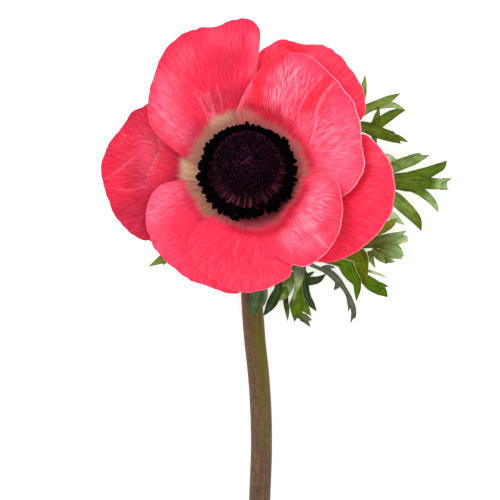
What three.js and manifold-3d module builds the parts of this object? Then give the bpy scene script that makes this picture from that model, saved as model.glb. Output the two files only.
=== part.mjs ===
// Anemone flower, cut and laid down: the bloom faces up and the stem runs towards -Y.
// Units are millimetres, +Z is up and the surface it lies on is at z = 0.
//
// The bloom is built in a frame of its own, with its centre at the foot of the tepals and
// its axis along +Z. That frame is then tilted and lifted on the bent neck of the stem.
import * as THREE from 'three';
import { mergeVertices } from 'three/addons/utils/BufferGeometryUtils.js';
import Module from 'manifold-3d';

const wasm = await Module();
wasm.setup();

// Driving dimensions of the bloom
const BLOOM_HEIGHT = 31; // foot of the tepals above the surface
const BLOOM_TILT_BACK = 12; // degrees, the face leans towards +Y
const BLOOM_TILT_SIDE = 2; // degrees, the face leans towards -X
const TEPAL_THICKNESS = 0.62;
const TEPAL_FOOT_R = 5.35; // the tepals start on this circle round the receptacle
const TEPAL_PITCH = 0.98; // from one layer to the next at the foot
const CREAM_RING_R = 19; // flat middle of the bowl, cream on the real flower

// Driving dimensions of the middle
const RECEPTACLE_R = 4.9;
const RECEPTACLE_TOP = 4.8; // above the foot of the tepals
const STAMEN_RING = { inner: 5.25, outer: 8.3, bottom: 4.2, top: 5.3 };
const FILAMENT_R = 0.38;
const ANTHER_SIZE = [1.35, 1.05, 1.5]; // half sizes: across, deep, long
const PISTIL_R = 9.3;
const PISTIL_TOP = 18.2;

// Driving dimensions of the stem and the bracts
const STEM_R = 3.3;
const NODE_R = 3.9; // swelling that carries the bracts
const NECK_R = 2.8;
const BRACT_THICKNESS = 0.62;
const BRACT_GAP = 0.3; // between the swelling and the foot of a bract

const radians = THREE.MathUtils.degToRad;
const { clamp, lerp, smoothstep } = THREE.MathUtils;

// Even, repeatable scatter in -1..1 for copy number i
function scatter(i, salt) {
  const wave = Math.sin(i * 127.1 + salt * 311.7) * 43758.5453;
  return 2 * (wave - Math.floor(wave)) - 1;
}

// Uniform Catmull-Rom value through a list of points, each a list of numbers, t in 0..1
function throughPoints(points, t) {
  const last = points.length - 1;
  const at = Math.min(Math.floor(t * last), last - 1);
  const f = t * last - at;
  const [a, b, c, d] = [at - 1, at, at + 1, at + 2].map((i) => points[clamp(i, 0, last)]);
  return b.map((value, k) => 0.5 * (2 * value + (c[k] - a[k]) * f
    + (2 * a[k] - 5 * value + 4 * c[k] - d[k]) * f * f
    + (3 * value - a[k] - 3 * c[k] + d[k]) * f * f * f));
}

// Indexed geometry from a list of vectors and a list of corner triples
function meshFrom(points, triangles) {
  const geometry = new THREE.BufferGeometry();
  geometry.setAttribute('position', new THREE.Float32BufferAttribute(points.flatMap((p) => p.toArray()), 3));
  geometry.setIndex(triangles.flat());
  return geometry;
}

// Closed solid from an open sheet. Both faces keep the sheet's own triangles, so they
// never cross, and a wall closes every edge that only one triangle uses.
function thicken(points, triangles, thickness) {
  const normals = points.map(() => new THREE.Vector3());
  const [ab, ac] = [new THREE.Vector3(), new THREE.Vector3()];
  for (const [a, b, c] of triangles) {
    ab.subVectors(points[b], points[a]);
    ac.subVectors(points[c], points[a]);
    const normal = ab.cross(ac);
    for (const corner of [a, b, c]) normals[corner].add(normal);
  }
  normals.forEach((normal) => normal.normalize());
  const count = points.length;
  const upper = points.map((p, i) => p.clone().addScaledVector(normals[i], thickness / 2));
  const lower = points.map((p, i) => p.clone().addScaledVector(normals[i], -thickness / 2));
  const faces = [...triangles];
  for (const [a, b, c] of triangles) faces.push([a + count, c + count, b + count]);
  const edges = new Map();
  for (const [a, b, c] of triangles) {
    for (const [from, to] of [[a, b], [b, c], [c, a]]) {
      const back = `${to}_${from}`;
      if (edges.has(back)) edges.delete(back);
      else edges.set(`${from}_${to}`, [from, to]);
    }
  }
  for (const [from, to] of edges.values()) {
    faces.push([from, from + count, to + count], [from, to + count, to]);
  }
  return meshFrom([...upper, ...lower], faces);
}

// Triangles of a grid of columns x rows points, stored column by column
function gridTriangles(columns, rows) {
  const faces = [];
  for (let i = 0; i < columns - 1; i += 1) {
    for (let j = 0; j < rows - 1; j += 1) {
      const [a, b] = [i * rows + j, (i + 1) * rows + j];
      faces.push([a, a + 1, b + 1], [a, b + 1, b]);
    }
  }
  return faces;
}

// The tepals. Each margin is a list of [degrees from the tepal's middle line, radius],
// clockwise side first, as measured on the flower. foot is the half width of the tepal's
// foot in degrees round the receptacle. Layer 0 lies at the back.
const TEPALS = [
  { name: 'tepal_1', middle: 120, layer: 1, foot: 22, raise: [0.2, 2.2], wave: [0.5, 9, 0.4],
    margin: [[-36.5, 36.5], [-32, 43.9], [-22, 43.5], [-17, 41.9], [-10, 43.5],
      [2, 42.9], [15, 39.2], [26, 36], [37, 31], [46, 22], [52, 15]] },
  { name: 'tepal_2', middle: 184, layer: 0, foot: 19, raise: [0, 0], wave: [0.5, 10, 1.7],
    margin: [[-46, 31], [-38, 35.2], [-29, 37.9], [-20, 39.3], [-13, 41.8], [-3, 42.9],
      [8, 42.3], [18, 41.2], [27, 39.4], [33, 36], [34, 27]] },
  { name: 'tepal_3', middle: 226, layer: 1, foot: 22, raise: [1.8, 0], wave: [0.45, 8, 2.9],
    margin: [[-37, 20], [-34, 26.5], [-26, 31], [-13, 35], [0, 37], [14, 37.7],
      [28, 38], [40, 38], [47, 32]] },
  { name: 'tepal_4', middle: 290, layer: 3, foot: 28, raise: [0.6, 1.4], wave: [0.4, 7, 4.1],
    margin: [[-59, 23.5], [-56, 29], [-45, 34], [-33, 36.8], [-20, 39], [-9, 38], [0, 36.6],
      [3, 33.8], [7, 35.6], [15, 36.3], [28, 35], [44, 31], [57, 26.8], [63, 21]] },
  { name: 'tepal_5', middle: 38, layer: 2, foot: 28, raise: [0, 1.6], wave: [0.45, 8, 5.3],
    margin: [[-64, 23], [-58, 29.5], [-47, 33.3], [-40, 34.4], [-28, 34.1], [-12, 35.6],
      [2, 36.1], [18, 36.3], [27, 36], [35, 34.4], [42, 30.4], [50, 25], [60, 19.5], [64, 16]] },
  { name: 'tepal_6', middle: 54, layer: 0, foot: 17, raise: [0, 0], wave: [0.6, 9, 0.9],
    margin: [[-35, 32], [-31, 36.8], [-24, 39.6], [-12, 41.8], [0, 42.8], [6, 42], [13, 39.6],
      [17, 39.4], [20, 40.4], [25, 38.3], [31, 34.6], [34, 27]] },
  { name: 'tepal_7', middle: 340, layer: 0, foot: 19, raise: [0, 0], wave: [0.5, 8, 3.6],
    margin: [[-46, 24], [-41, 32], [-31, 37.3], [-19, 41.3], [-5, 44.2], [6, 44.4], [17, 42.7],
      [24, 40.6], [30, 38], [35, 35.7], [38, 31], [38, 25]] },
];

// How steeply the bowl rises along one direction of the bloom: flat to the cream ring,
// then a wall, then an outer part that opens out again. Steepest towards +X.
function bowlHeight(r, degrees) {
  const east = 0.5 + 0.5 * Math.cos(radians(degrees - 15));
  const south = smoothstep(Math.cos(radians(degrees - 275)), 0.2, 1);
  const wall = lerp(0.42, 0.68, east);
  const rim = lerp(0.24, 0.3, east) - 0.42 * south;
  const ramp = (start, soft) => soft * Math.log1p(Math.exp((r - start) / soft));
  const wallStart = CREAM_RING_R - lerp(5.5, 2.5, east);
  const rimStart = lerp(26, 28, east) + 3 * south;
  return 0.03 * (r - TEPAL_FOOT_R) + wall * ramp(wallStart, 1.8) - (wall - rim) * ramp(rimStart, 3);
}

// Height of one tepal over the bloom's base plane. The layers part further outwards.
function tepalHeight(tepal, r, degrees) {
  const outward = clamp((r - TEPAL_FOOT_R) / 16, 0, 1);
  const far = smoothstep(r, 22, 42);
  const pitch = TEPAL_PITCH + 0.65 * outward + 0.9 * far;
  const side = (((degrees - tepal.middle + 540) % 360) - 180) / 50;
  const raised = side < 0 ? tepal.raise[0] : tepal.raise[1];
  const [depth, count, phase] = tepal.wave;
  const ripple = depth * smoothstep(r, 20, 40) * Math.sin(radians(degrees) * count + phase);
  return bowlHeight(r, degrees) + tepal.layer * pitch + raised * side * side * outward + ripple;
}

const VEINS_PER_SPAN = 1.4; // between one point of the margin and the next
const VEIN_POINTS = 10;

// A tepal as a fan of veins: each runs from the narrow foot out to its place on the margin
function tepalSheet(tepal) {
  const columns = Math.round((tepal.margin.length - 1) * VEINS_PER_SPAN) + 1;
  const points = [];
  for (let i = 0; i < columns; i += 1) {
    const [turn, reach] = throughPoints(tepal.margin, i / (columns - 1));
    const start = lerp(-tepal.foot, tepal.foot, i / (columns - 1));
    for (let j = 0; j < VEIN_POINTS; j += 1) {
      const v = j / (VEIN_POINTS - 1);
      const r = lerp(TEPAL_FOOT_R, reach, v);
      const degrees = tepal.middle + lerp(start, turn, 1 - (1 - v) ** 1.7);
      const angle = radians(degrees);
      const height = tepalHeight(tepal, r, degrees);
      points.push(new THREE.Vector3(r * Math.cos(angle), r * Math.sin(angle), height));
    }
  }
  return { points, triangles: gridTriangles(columns, VEIN_POINTS).map(([a, b, c]) => [a, c, b]) };
}

// Closed body from rings of points, each a closed loop, with a fan over each end
function closedRings(rings) {
  const sides = rings[0].length;
  const points = rings.flat();
  const faces = [];
  for (let k = 0; k < rings.length - 1; k += 1) {
    for (let i = 0; i < sides; i += 1) {
      const [a, b] = [k * sides + i, k * sides + ((i + 1) % sides)];
      faces.push([a, b, b + sides], [a, b + sides, a + sides]);
    }
  }
  const middleOf = (ring) => ring.reduce((sum, p) => sum.add(p), new THREE.Vector3()).divideScalar(sides);
  const [first, last] = [points.length, points.length + 1];
  const top = (rings.length - 1) * sides;
  points.push(middleOf(rings[0]), middleOf(rings.at(-1)));
  for (let i = 0; i < sides; i += 1) {
    const next = (i + 1) % sides;
    faces.push([first, next, i], [last, top + i, top + next]);
  }
  return meshFrom(points, faces);
}

// The pistil head: a short stalk and a tall dome, with its blunt styles as relief
function pistilHead() {
  const profile = [[4.2, RECEPTACLE_TOP + 0.35], [4.4, 5.9], [6.6, 7.3], [8.3, 9.1], [9.15, 10.9],
    [PISTIL_R, 12.4], [8.9, 14], [8, 15.5], [6.6, 16.7], [4.9, 17.5], [3.1, 18], [1.4, PISTIL_TOP]];
  const sides = 34;
  const relief = 0.28;
  const rings = profile.map(([r, h], k) => {
    const bumpy = k > 2 ? relief : 0;
    return Array.from({ length: sides }, (_, i) => {
      const angle = ((i + 0.5 * (k % 2)) / sides) * 2 * Math.PI;
      const out = r + bumpy * ((i + k) % 2 ? -1 : 1) * Math.min(1, r / 5);
      return new THREE.Vector3(out * Math.cos(angle), out * Math.sin(angle), h + bumpy * 0.4 * scatter(i, k));
    });
  });
  return closedRings(rings);
}

// manifold-3d solid from a three.js geometry, and back
function toSolid(geometry) {
  const bare = geometry.clone();
  bare.deleteAttribute('normal');
  bare.deleteAttribute('uv');
  const merged = mergeVertices(bare, 1e-4);
  return new wasm.Manifold(new wasm.Mesh({
    numProp: 3,
    vertProperties: new Float32Array(merged.attributes.position.array),
    triVerts: new Uint32Array(merged.index.array),
  }));
}
function toGeometry(solid) {
  const mesh = solid.getMesh();
  const geometry = new THREE.BufferGeometry();
  geometry.setAttribute('position', new THREE.Float32BufferAttribute(mesh.vertProperties, 3));
  geometry.setIndex(new THREE.Uint32BufferAttribute(mesh.triVerts, 1));
  return geometry;
}

// Whorls of stamens from the inside out: how many, and where their anthers stand
const WHORLS = [
  { count: 20, root: 6.3, r: 11.5, height: 10.2 },
  { count: 21, root: 7, r: 12.9, height: 8.9 },
  { count: 22, root: 7.6, r: 14.2, height: 7.6 },
];

// A stamen: a thin three-sided filament and an anther over its end
function stamen(angle, root, tip) {
  const [from, to] = [root, tip].map(([r, h]) => new THREE.Vector3(r * Math.cos(angle), r * Math.sin(angle), h));
  const run = to.clone().sub(from);
  const lean = new THREE.Quaternion().setFromUnitVectors(new THREE.Vector3(0, 1, 0), run.clone().normalize());
  const filament = new THREE.CylinderGeometry(FILAMENT_R, FILAMENT_R, run.length(), 3);
  filament.applyQuaternion(lean);
  filament.translate(...from.clone().lerp(to, 0.5).toArray());
  const anther = new THREE.IcosahedronGeometry(1, 0);
  anther.scale(ANTHER_SIZE[0], ANTHER_SIZE[1], ANTHER_SIZE[2]);
  anther.rotateY(radians(60));
  anther.rotateZ(angle);
  anther.translate(...to.toArray());
  return toSolid(filament).add(toSolid(anther));
}

// All stamens and the ring they grow from, joined into one body
function stamens() {
  const { inner, outer, bottom, top } = STAMEN_RING;
  const section = [[inner, bottom], [outer, bottom], [outer, top], [inner, top], [inner, bottom]];
  const ring = new THREE.LatheGeometry(section.map(([r, h]) => new THREE.Vector2(r, h)), 28);
  ring.rotateX(Math.PI / 2);
  let body = toSolid(ring);
  WHORLS.forEach(({ count, root, r, height }, whorl) => {
    for (let i = 0; i < count; i += 1) {
      const angle = ((i + 0.33 * whorl + 0.22 * scatter(i, whorl)) / count) * 2 * Math.PI;
      const reach = r + 0.35 * scatter(i, whorl + 5);
      const rise = height + 0.4 * scatter(i, whorl + 9);
      body = body.add(stamen(angle, [root, top - 0.3], [reach, rise]));
    }
  });
  return toGeometry(body);
}

// The bloom's frame in the world, and its axis
const bloom = new THREE.Group();
bloom.position.set(0, 0, BLOOM_HEIGHT);
bloom.rotation.set(radians(-BLOOM_TILT_BACK), radians(-BLOOM_TILT_SIDE), 0);
const bloomAxis = new THREE.Vector3(0, 0, 1).applyEuler(bloom.rotation);
const onBloomAxis = (h) => bloomAxis.clone().multiplyScalar(h).add(bloom.position);

// The stem's centre line from the cut end to the top of the receptacle, with its radius.
// It lies on its cut end, rises a little to the node and there bends up into the neck.
const NODE_AT = new THREE.Vector3(0.7, -13, 10.4);
const STEM_LINE = [
  [new THREE.Vector3(1.6, -145, STEM_R + 0.05), STEM_R],
  [new THREE.Vector3(2.6, -122, 4), STEM_R],
  [new THREE.Vector3(3.5, -101, 4.6), STEM_R],
  [new THREE.Vector3(4, -83, 5.2), STEM_R],
  [new THREE.Vector3(3.3, -64, 5.9), STEM_R],
  [new THREE.Vector3(1.8, -50, 6.3), STEM_R],
  [new THREE.Vector3(0.9, -36, 6.8), STEM_R],
  [new THREE.Vector3(0.6, -24, 7.6), STEM_R],
  [new THREE.Vector3(0.6, -17, 8.7), 3.6],
  [NODE_AT, NODE_R],
  [new THREE.Vector3(0.7, -9, 13.3), 3.1],
  [new THREE.Vector3(0.6, -5, 17.5), NECK_R],
  [onBloomAxis(-9), NECK_R],
  [onBloomAxis(-5), 3.3],
  [onBloomAxis(-1.6), RECEPTACLE_R],
  [onBloomAxis(RECEPTACLE_TOP), RECEPTACLE_R],
];
const STEM_SIDES = 12;

// The stem, neck and receptacle as one swept body. The frame of each section is carried
// along the line, so the sides don't twist.
function stem() {
  const curve = new THREE.CatmullRomCurve3(STEM_LINE.map(([p]) => p), false, 'centripetal');
  const spans = STEM_LINE.length - 1;
  const perSpan = 3;
  const rings = [];
  let across = new THREE.Vector3(1, 0, 0);
  for (let k = 0; k <= spans * perSpan; k += 1) {
    const t = k / (spans * perSpan);
    const centre = curve.getPoint(t);
    const along = curve.getTangent(t);
    across = across.clone().addScaledVector(along, -across.dot(along)).normalize();
    const up = new THREE.Vector3().crossVectors(across, along);
    const span = Math.min(Math.floor(k / perSpan), spans - 1);
    const radius = lerp(STEM_LINE[span][1], STEM_LINE[span + 1][1], k / perSpan - span);
    rings.push(Array.from({ length: STEM_SIDES }, (_, i) => {
      const angle = (-i / STEM_SIDES) * 2 * Math.PI;
      return centre.clone().addScaledVector(across, radius * Math.cos(angle))
        .addScaledVector(up, radius * Math.sin(angle));
    }));
  }
  return closedRings(rings);
}

// The bracts. Each is one leaf, cut almost to its foot into blades. A blade runs from the
// foot through its stops, [x, y, z, half width], to its tip, and its forks spring from it.
// foot is the stretch of the stem's node that the bract sits on, in degrees round the
// stem from +X towards +Y.
const TOUCH = 0.43; // height of a tip that rests on the surface
const BRACTS = [
  { name: 'bract_1', foot: [62, -24],
    blades: [
      { stops: [[20, 4, 11, 0.8], [31, 13, 9, 0.8], [35.5, 24, 4.5, 0.8], [36.3, 28.3, 2.2, 0.9],
        [36.9, 32.4, TOUCH, 0]] },
      { stops: [[18, 2, 12, 0.8], [29, 14.5, 10, 1.1], [36.1, 20.8, 7.5, 1.3],
        [40.5, 22.9, 6.6, 1.2], [44.4, 24.7, 5.2, 1], [47.7, 26.5, 3.4, 0]],
        forks: [[[36.7, 21, 7.3, 0.7], [41.1, 22.4, 6.5, 1], [45.3, 22.7, 5.4, 0.8],
          [47.2, 22, 4.7, 0.6], [49.2, 21.1, 3.8, 0.1]]] },
      { stops: [[17, -1, 12, 0.8], [27, 10, 10.5, 1.2], [35.1, 15.6, 8.8, 1.6],
        [39.5, 14.2, 8, 1.7], [43.7, 13, 6.2, 1.6], [46, 12, 4.9, 1.1], [47.8, 10.7, 4, 0]],
        forks: [[[36.6, 15.1, 8.5, 0.9], [39.8, 16.2, 8.1, 1.5], [43, 18.4, 7.4, 1.5],
          [45.9, 20.1, 6.4, 1.1], [49.2, 21.1, 5.2, 0]],
          [[39.3, 15.9, 8.1, 1.1], [40.1, 18.7, 7.9, 0.9], [40.8, 21.9, 7.2, 0]],
          [[43.7, 13, 6.2, 0.9], [47.1, 12.4, 4.9, 0.8], [50.2, 11.2, 3.6, 0]]] },
      { stops: [[16, -5, 11.5, 0.8], [30, -0.6, 10, 1.2], [44.5, 2.8, 7.2, 1.7],
        [48, 4.2, 6.4, 1.7], [51.6, 5.4, 5.2, 1.5], [54.2, 6.2, 4.4, 0.9], [56.9, 7, 3.6, 0]],
        forks: [[[49.3, 5.4, 6, 0.9], [52.1, 6.6, 5, 0.8], [54.3, 7.7, 4.4, 0]]] },
      { stops: [[15, -7, 11, 0.9], [30, -4, 9.4, 1.8], [45.8, -1.4, 7.4, 2.4],
        [49.9, -1.5, 6.4, 2.9], [53.5, -1.5, 5.4, 2.6], [56.1, -1.6, 4.4, 1.3], [57.7, -1.7, 4, 0]],
        forks: [[[50.2, -0.5, 6.3, 2.1], [54.4, 0.7, 5, 2], [58.3, 2.4, 3.5, 1.5],
          [61, 3.8, 2.6, 1.1], [62.5, 5.4, 2, 0]],
          [[53.5, -1.8, 5.3, 1.6], [57, -1.9, 4.1, 1.7], [60.3, -2, 2.9, 1.6], [62.6, -2, 2, 1.3]],
          [[60.6, -1.2, 2.8, 0.8], [62.6, -0.7, 2.1, 0.5], [64.2, -0.2, 1.5, 0]],
          [[50.3, -2.8, 6.2, 1.4], [53.5, -4.2, 4.9, 1.3], [57.1, -6.7, 3, 1.1],
          [59, -8.9, 1.6, 0.7], [60, -10.8, 0.6, 0]]] },
      { stops: [[14, -9, 11, 0.8], [28, -6.6, 9.4, 1.6], [44.8, -6.3, 7.6, 2], [48.1, -8.7, 6.2, 2],
        [51, -11.3, 4.6, 1.8], [53.2, -13.8, 3, 1.3], [54.5, -16.7, 2, 0]] },
      { stops: [[13, -11, 9, 0.8], [28, -9.6, 7, 1], [43.8, -11.5, 5, 1.1], [46.1, -12.8, 3.6, 1.1],
        [49.1, -14.8, 2, 0]] },
    ] },
  { name: 'bract_2', foot: [-32, -124],
    blades: [
      { stops: [[12, -15, 13, 0.8], [26, -17.5, 12, 0.8], [40.3, -17.5, 10.4, 0.7],
        [42.7, -15.8, 9.4, 1.2], [44.6, -14.4, 8.4, 1.1], [46.2, -13, 7.4, 0]] },
      { stops: [[12, -16, 13, 0.8], [26, -20, 11.5, 1], [40.4, -19.8, 9, 1.3],
        [43.5, -19.2, 8.2, 1.4], [46.4, -18.4, 6.8, 1.1], [49.5, -16.7, 5.2, 0]],
        forks: [[[43.2, -19.7, 8.2, 1.3], [46.1, -19.7, 7.2, 1.3], [48.4, -19.4, 6, 1.2],
          [49.9, -19.2, 5.2, 0.8]]] },
      { stops: [[11, -17, 13, 0.8], [25, -21.5, 10.6, 1], [39.1, -21.2, 8.4, 0.9],
        [42.3, -21, 7.8, 1.4], [45.4, -22, 6.4, 1.3], [47.3, -23.2, 5.2, 0.9],
        [48.8, -24.7, 4.4, 0]],
        forks: [[[40.8, -22.3, 7.5, 0.7], [44, -23.6, 6.2, 1.1], [46.3, -24.5, 5, 1],
          [48.2, -25.3, 4, 0.3]],
          [[38.5, -22.7, 8, 0.9], [41.5, -24.7, 6.6, 1.5], [43.9, -26.1, 5.2, 1.2]]] },
      { stops: [[10, -18, 13.4, 0.8], [22, -22, 12, 1.8], [34.2, -24.5, 9.7, 2.6],
        [35.4, -28.4, 8, 2], [35.9, -30.7, 6.8, 1.3], [35.7, -33.3, 5.8, 0]],
        forks: [[[35.9, -31.3, 5.8, 1.4], [38.2, -33.3, 5.2, 1.9], [40.7, -34.9, 4, 1.8],
          [42.5, -36.2, 3.2, 1.2], [43.8, -37.6, 2.6, 0]]] },
      { stops: [[9, -19, 13.4, 0.8], [19, -23.4, 12.2, 1.8], [30.5, -25.3, 9.6, 3.6],
        [31.7, -28.4, 8, 3], [33, -30.9, 6.4, 2.4], [34.1, -33.5, 4.9, 1.2],
        [34.2, -35.7, 3.6, 0.9], [34, -38.8, 2, 0]] },
      { stops: [[8, -20, 13.6, 0.8], [17, -26, 13, 0.8], [21.4, -28.3, 11.6, 0.4],
        [24.7, -29.5, 11, 1.1], [27.7, -32.1, 9.8, 1.2], [30.1, -35.2, 8.2, 0.7],
        [31.9, -38.5, 6.4, 0.8], [33, -42, 4.4, 0.8], [32.2, -45.8, 2, 0]],
        forks: [[[28.2, -32.6, 9.5, 0.9], [27.6, -34, 8.8, 0.7], [26.7, -35.3, 8.2, 0]],
          [[31, -36.6, 7.3, 0.5], [31.5, -39.4, 6, 0.5], [31.4, -42, 5, 0]]] },
      { stops: [[6, -20.5, 14, 0.8], [13, -26, 13.6, 1], [17.2, -30.5, 12.5, 1.1],
        [17.4, -34, 11.2, 1.2], [18.3, -37.5, 9, 1.1], [19.7, -39.8, 7, 0.9],
        [21.2, -41.8, 5.4, 0.1]],
        forks: [[[17.1, -32.7, 11.6, 1.1], [19.6, -32.4, 11, 1.2], [21.9, -31.9, 10, 0.9],
          [24.1, -30.3, 9.2, 0]]] },
      { stops: [[5, -20, 15.4, 0.8], [10.5, -26, 16, 1.4], [15.7, -29, 14.8, 1.2],
        [15.5, -33.3, 12.4, 1], [15.4, -37.1, 10, 1.6], [15.2, -40, 8.4, 2.4],
        [14.8, -42.5, 6.6, 1.4], [14.4, -45.2, 5, 0]],
        forks: [[[16, -38.1, 9.6, 1.4], [17.5, -40.6, 8, 1.3], [19.6, -43.5, 6, 0]]] },
      { stops: [[5, -21, 13.6, 0.8], [9, -28, 14, 1.2], [12.6, -30.2, 13.6, 1.1],
        [12.8, -33.8, 12.6, 1.2], [12.5, -37.1, 11.4, 0]] },
      { stops: [[5, -21, 12, 0.8], [10.4, -29, 10.6, 1], [11.5, -35.9, 9.4, 0.6],
        [11.6, -38.4, 8.2, 0.7], [12.1, -41.9, 6.6, 0.6], [12.3, -44.9, 4.8, 0]] },
      { stops: [[3, -20, 14.4, 0.8], [7.4, -27.5, 14.4, 1.2], [9.3, -34.4, 13, 1.1],
        [8.1, -37.6, 12, 1.5], [6.7, -40.2, 11, 1.3], [4.8, -43.1, 9.8, 0.1]] },
      { stops: [[0.4, -19, 16, 0.8], [2.2, -27, 17, 1.6], [3, -34.2, 16.4, 1.6],
        [2.4, -37.6, 15.4, 2], [1.7, -40.4, 13.8, 1.6], [0.9, -43.3, 12.2, 0.2]] },
    ] },
  { name: 'bract_3', foot: [214, 104],
    blades: [
      { stops: [[-7, -15, 12, 0.8], [-17, -20.4, 10, 1.2], [-25, -24.6, 6, 1.7],
        [-31.6, -28, TOUCH, 0]],
        forks: [[[-22.6, -22.6, 7.6, 0.9], [-27, -27.6, 4, 0]]] },
      { stops: [[-8, -14, 12, 0.8], [-20, -16.4, 10, 1.4], [-29, -18.6, 6.6, 1.9],
        [-32.4, -19.2, 4.4, 0]],
        forks: [[[-26, -17.4, 8, 1.2], [-30.6, -15, 6, 1.1], [-33.6, -13.6, 4.6, 0]]] },
      { stops: [[-9, -12.4, 11.6, 0.8], [-21, -10.6, 9.6, 1.5], [-30, -8.6, 6.4, 2.1],
        [-37, -7, 2.6, 0]],
        forks: [[[-26, -9.6, 7.6, 1.3], [-31, -4.8, 5.4, 1.2], [-35, -0.6, 3.6, 0]]] },
      { stops: [[-8.6, -10.4, 11, 0.8], [-20, -3.6, 9, 1.4], [-28, 2.4, 5, 1.9],
        [-34, 7, TOUCH, 0]],
        forks: [[[-23, -1.6, 8, 1.2], [-26, 5, 5.8, 1.1], [-27.6, 10.6, 4, 0]]] },
      { stops: [[-7, -8.6, 10.6, 0.8], [-14.6, 2.4, 9, 1.5], [-19.4, 10.6, 5.6, 2],
        [-23, 19, 2, 0]],
        forks: [[[-16, 4.8, 8.2, 1.3], [-16.4, 11, 6.6, 1.2], [-16, 16.6, 5, 0]]] },
      { stops: [[-4.6, -7.2, 10, 0.8], [-8.4, 5, 9, 1.4], [-9.4, 14, 6, 1.9], [-10, 23, 2.6, 0]],
        forks: [[[-8.6, 6.6, 8.6, 1.2], [-6, 12.4, 7.4, 1.1], [-3.6, 17.6, 6, 0]]] },
    ] },
];
const BLADE_ROOT_HALF = 0.7;
const BLADE_TIP_HALF = 0.15; // added all along, so that a tip keeps some width
const BLADE_FOLD = 0.2; // how far the sides rise over the midrib, for each mm of half width
const COLLAR_HALF = 0.9; // along the stem

// The node's own frame: along the stem, towards +X, and across both
const nodeCurve = new THREE.CatmullRomCurve3(STEM_LINE.map(([p]) => p), false, 'centripetal');
const nodeIndex = STEM_LINE.findIndex(([p]) => p === NODE_AT);
const nodeAlong = nodeCurve.getTangent(nodeIndex / (STEM_LINE.length - 1));
const nodeEast = new THREE.Vector3(1, 0, 0).addScaledVector(nodeAlong, -nodeAlong.x).normalize();
const nodeNorth = new THREE.Vector3().crossVectors(nodeAlong, nodeEast);

// Point of the collar that a bract sits on: degrees round the node, and along the stem
function collarPoint(degrees, along) {
  const angle = radians(degrees);
  const out = nodeEast.clone().multiplyScalar(Math.cos(angle)).addScaledVector(nodeNorth, Math.sin(angle));
  const r = NODE_R + BRACT_GAP + BRACT_THICKNESS / 2;
  return NODE_AT.clone().addScaledVector(out, r).addScaledVector(nodeAlong, along);
}

// A blade along its stops, folded a little along the midrib, in steps between the stops
function bladeSolid(stops, steps) {
  const places = stops.map(([x, y, z]) => new THREE.Vector3(x, y, z));
  const curve = new THREE.CatmullRomCurve3(places, false, 'centripetal');
  const halves = stops.map(([, , , half]) => [half]);
  const points = [];
  const rows = (stops.length - 1) * steps + 1;
  for (let k = 0; k < rows; k += 1) {
    const t = k / (rows - 1);
    const centre = curve.getPoint(t);
    const across = new THREE.Vector3().crossVectors(curve.getTangent(t), new THREE.Vector3(0, 0, 1)).normalize();
    const [half] = throughPoints(halves, t);
    const width = Math.max(half, 0) + BLADE_TIP_HALF;
    const lift = new THREE.Vector3(0, 0, BLADE_FOLD * width);
    points.push(centre.clone().addScaledVector(across, -width).add(lift), centre,
      centre.clone().addScaledVector(across, width).add(lift));
  }
  const faces = [];
  for (let k = 0; k < rows - 1; k += 1) {
    const [l0, m0, r0, l1, m1, r1] = [0, 1, 2, 3, 4, 5].map((corner) => 3 * k + corner);
    faces.push([l0, m0, m1], [l0, m1, l1], [m0, r0, r1], [m0, r1, m1]);
  }
  return toSolid(thicken(points, faces, BRACT_THICKNESS));
}

// A bract: its collar on the stem's node, and its blades and forks, joined into one body
function bract({ foot, blades }) {
  const steps = 9;
  const points = [];
  for (let i = 0; i <= steps; i += 1) {
    const degrees = lerp(foot[0], foot[1], i / steps);
    points.push(collarPoint(degrees, -COLLAR_HALF), collarPoint(degrees, COLLAR_HALF));
  }
  const collar = gridTriangles(steps + 1, 2);
  let body = toSolid(thicken(points, collar, BRACT_THICKNESS));
  blades.forEach(({ stops, forks = [] }, i) => {
    const degrees = lerp(foot[0], foot[1], (i + 0.5) / blades.length);
    const root = [...collarPoint(degrees, 0).toArray(), BLADE_ROOT_HALF];
    body = body.add(bladeSolid([root, ...stops], 1));
    for (const fork of forks) body = body.add(bladeSolid(fork, fork.length > 3 ? 1 : 2));
  });
  return toGeometry(body);
}

// Materials and the finished group
const finish = (color, roughness) => new THREE.MeshStandardMaterial({ color, roughness, metalness: 0 });
const TEPAL_FINISH = finish(0xf23a5c, 0.6);
const STAMEN_FINISH = finish(0x0b070c, 0.75);
const PISTIL_FINISH = finish(0x22102a, 0.7);
const STEM_FINISH = finish(0x6a5a3c, 0.65);
const BRACT_FINISH = finish(0x4f7326, 0.6);

function piece(name, geometry, material) {
  const mesh = new THREE.Mesh(geometry, material);
  mesh.name = name;
  return mesh;
}

for (const tepal of TEPALS) {
  const { points, triangles } = tepalSheet(tepal);
  bloom.add(piece(tepal.name, thicken(points, triangles, TEPAL_THICKNESS), TEPAL_FINISH));
}
bloom.add(piece('stamens', stamens(), STAMEN_FINISH));
bloom.add(piece('pistil_head', pistilHead(), PISTIL_FINISH));

const flower = new THREE.Group();
flower.add(bloom);
flower.add(piece('stem', stem(), STEM_FINISH));
for (const leaf of BRACTS) flower.add(piece(leaf.name, bract(leaf), BRACT_FINISH));

// The origin goes under the middle of the whole flower, on the surface it lies on
const whole = new THREE.Group();
whole.add(flower);
whole.updateMatrixWorld(true);
const box = new THREE.Box3().setFromObject(flower, true);
flower.position.set(-(box.min.x + box.max.x) / 2, -(box.min.y + box.max.y) / 2, -box.min.z);

export default whole;
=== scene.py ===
"""Anemone flower, cut and laid down: its looks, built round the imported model.

Lengths are in millimetres in the bloom's or the flower's own frame, and turned into metres
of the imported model's frame when a piece is placed.
"""
import math
from functools import partial

import bpy
import numpy as np
from mathutils import Matrix, Vector


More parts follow.
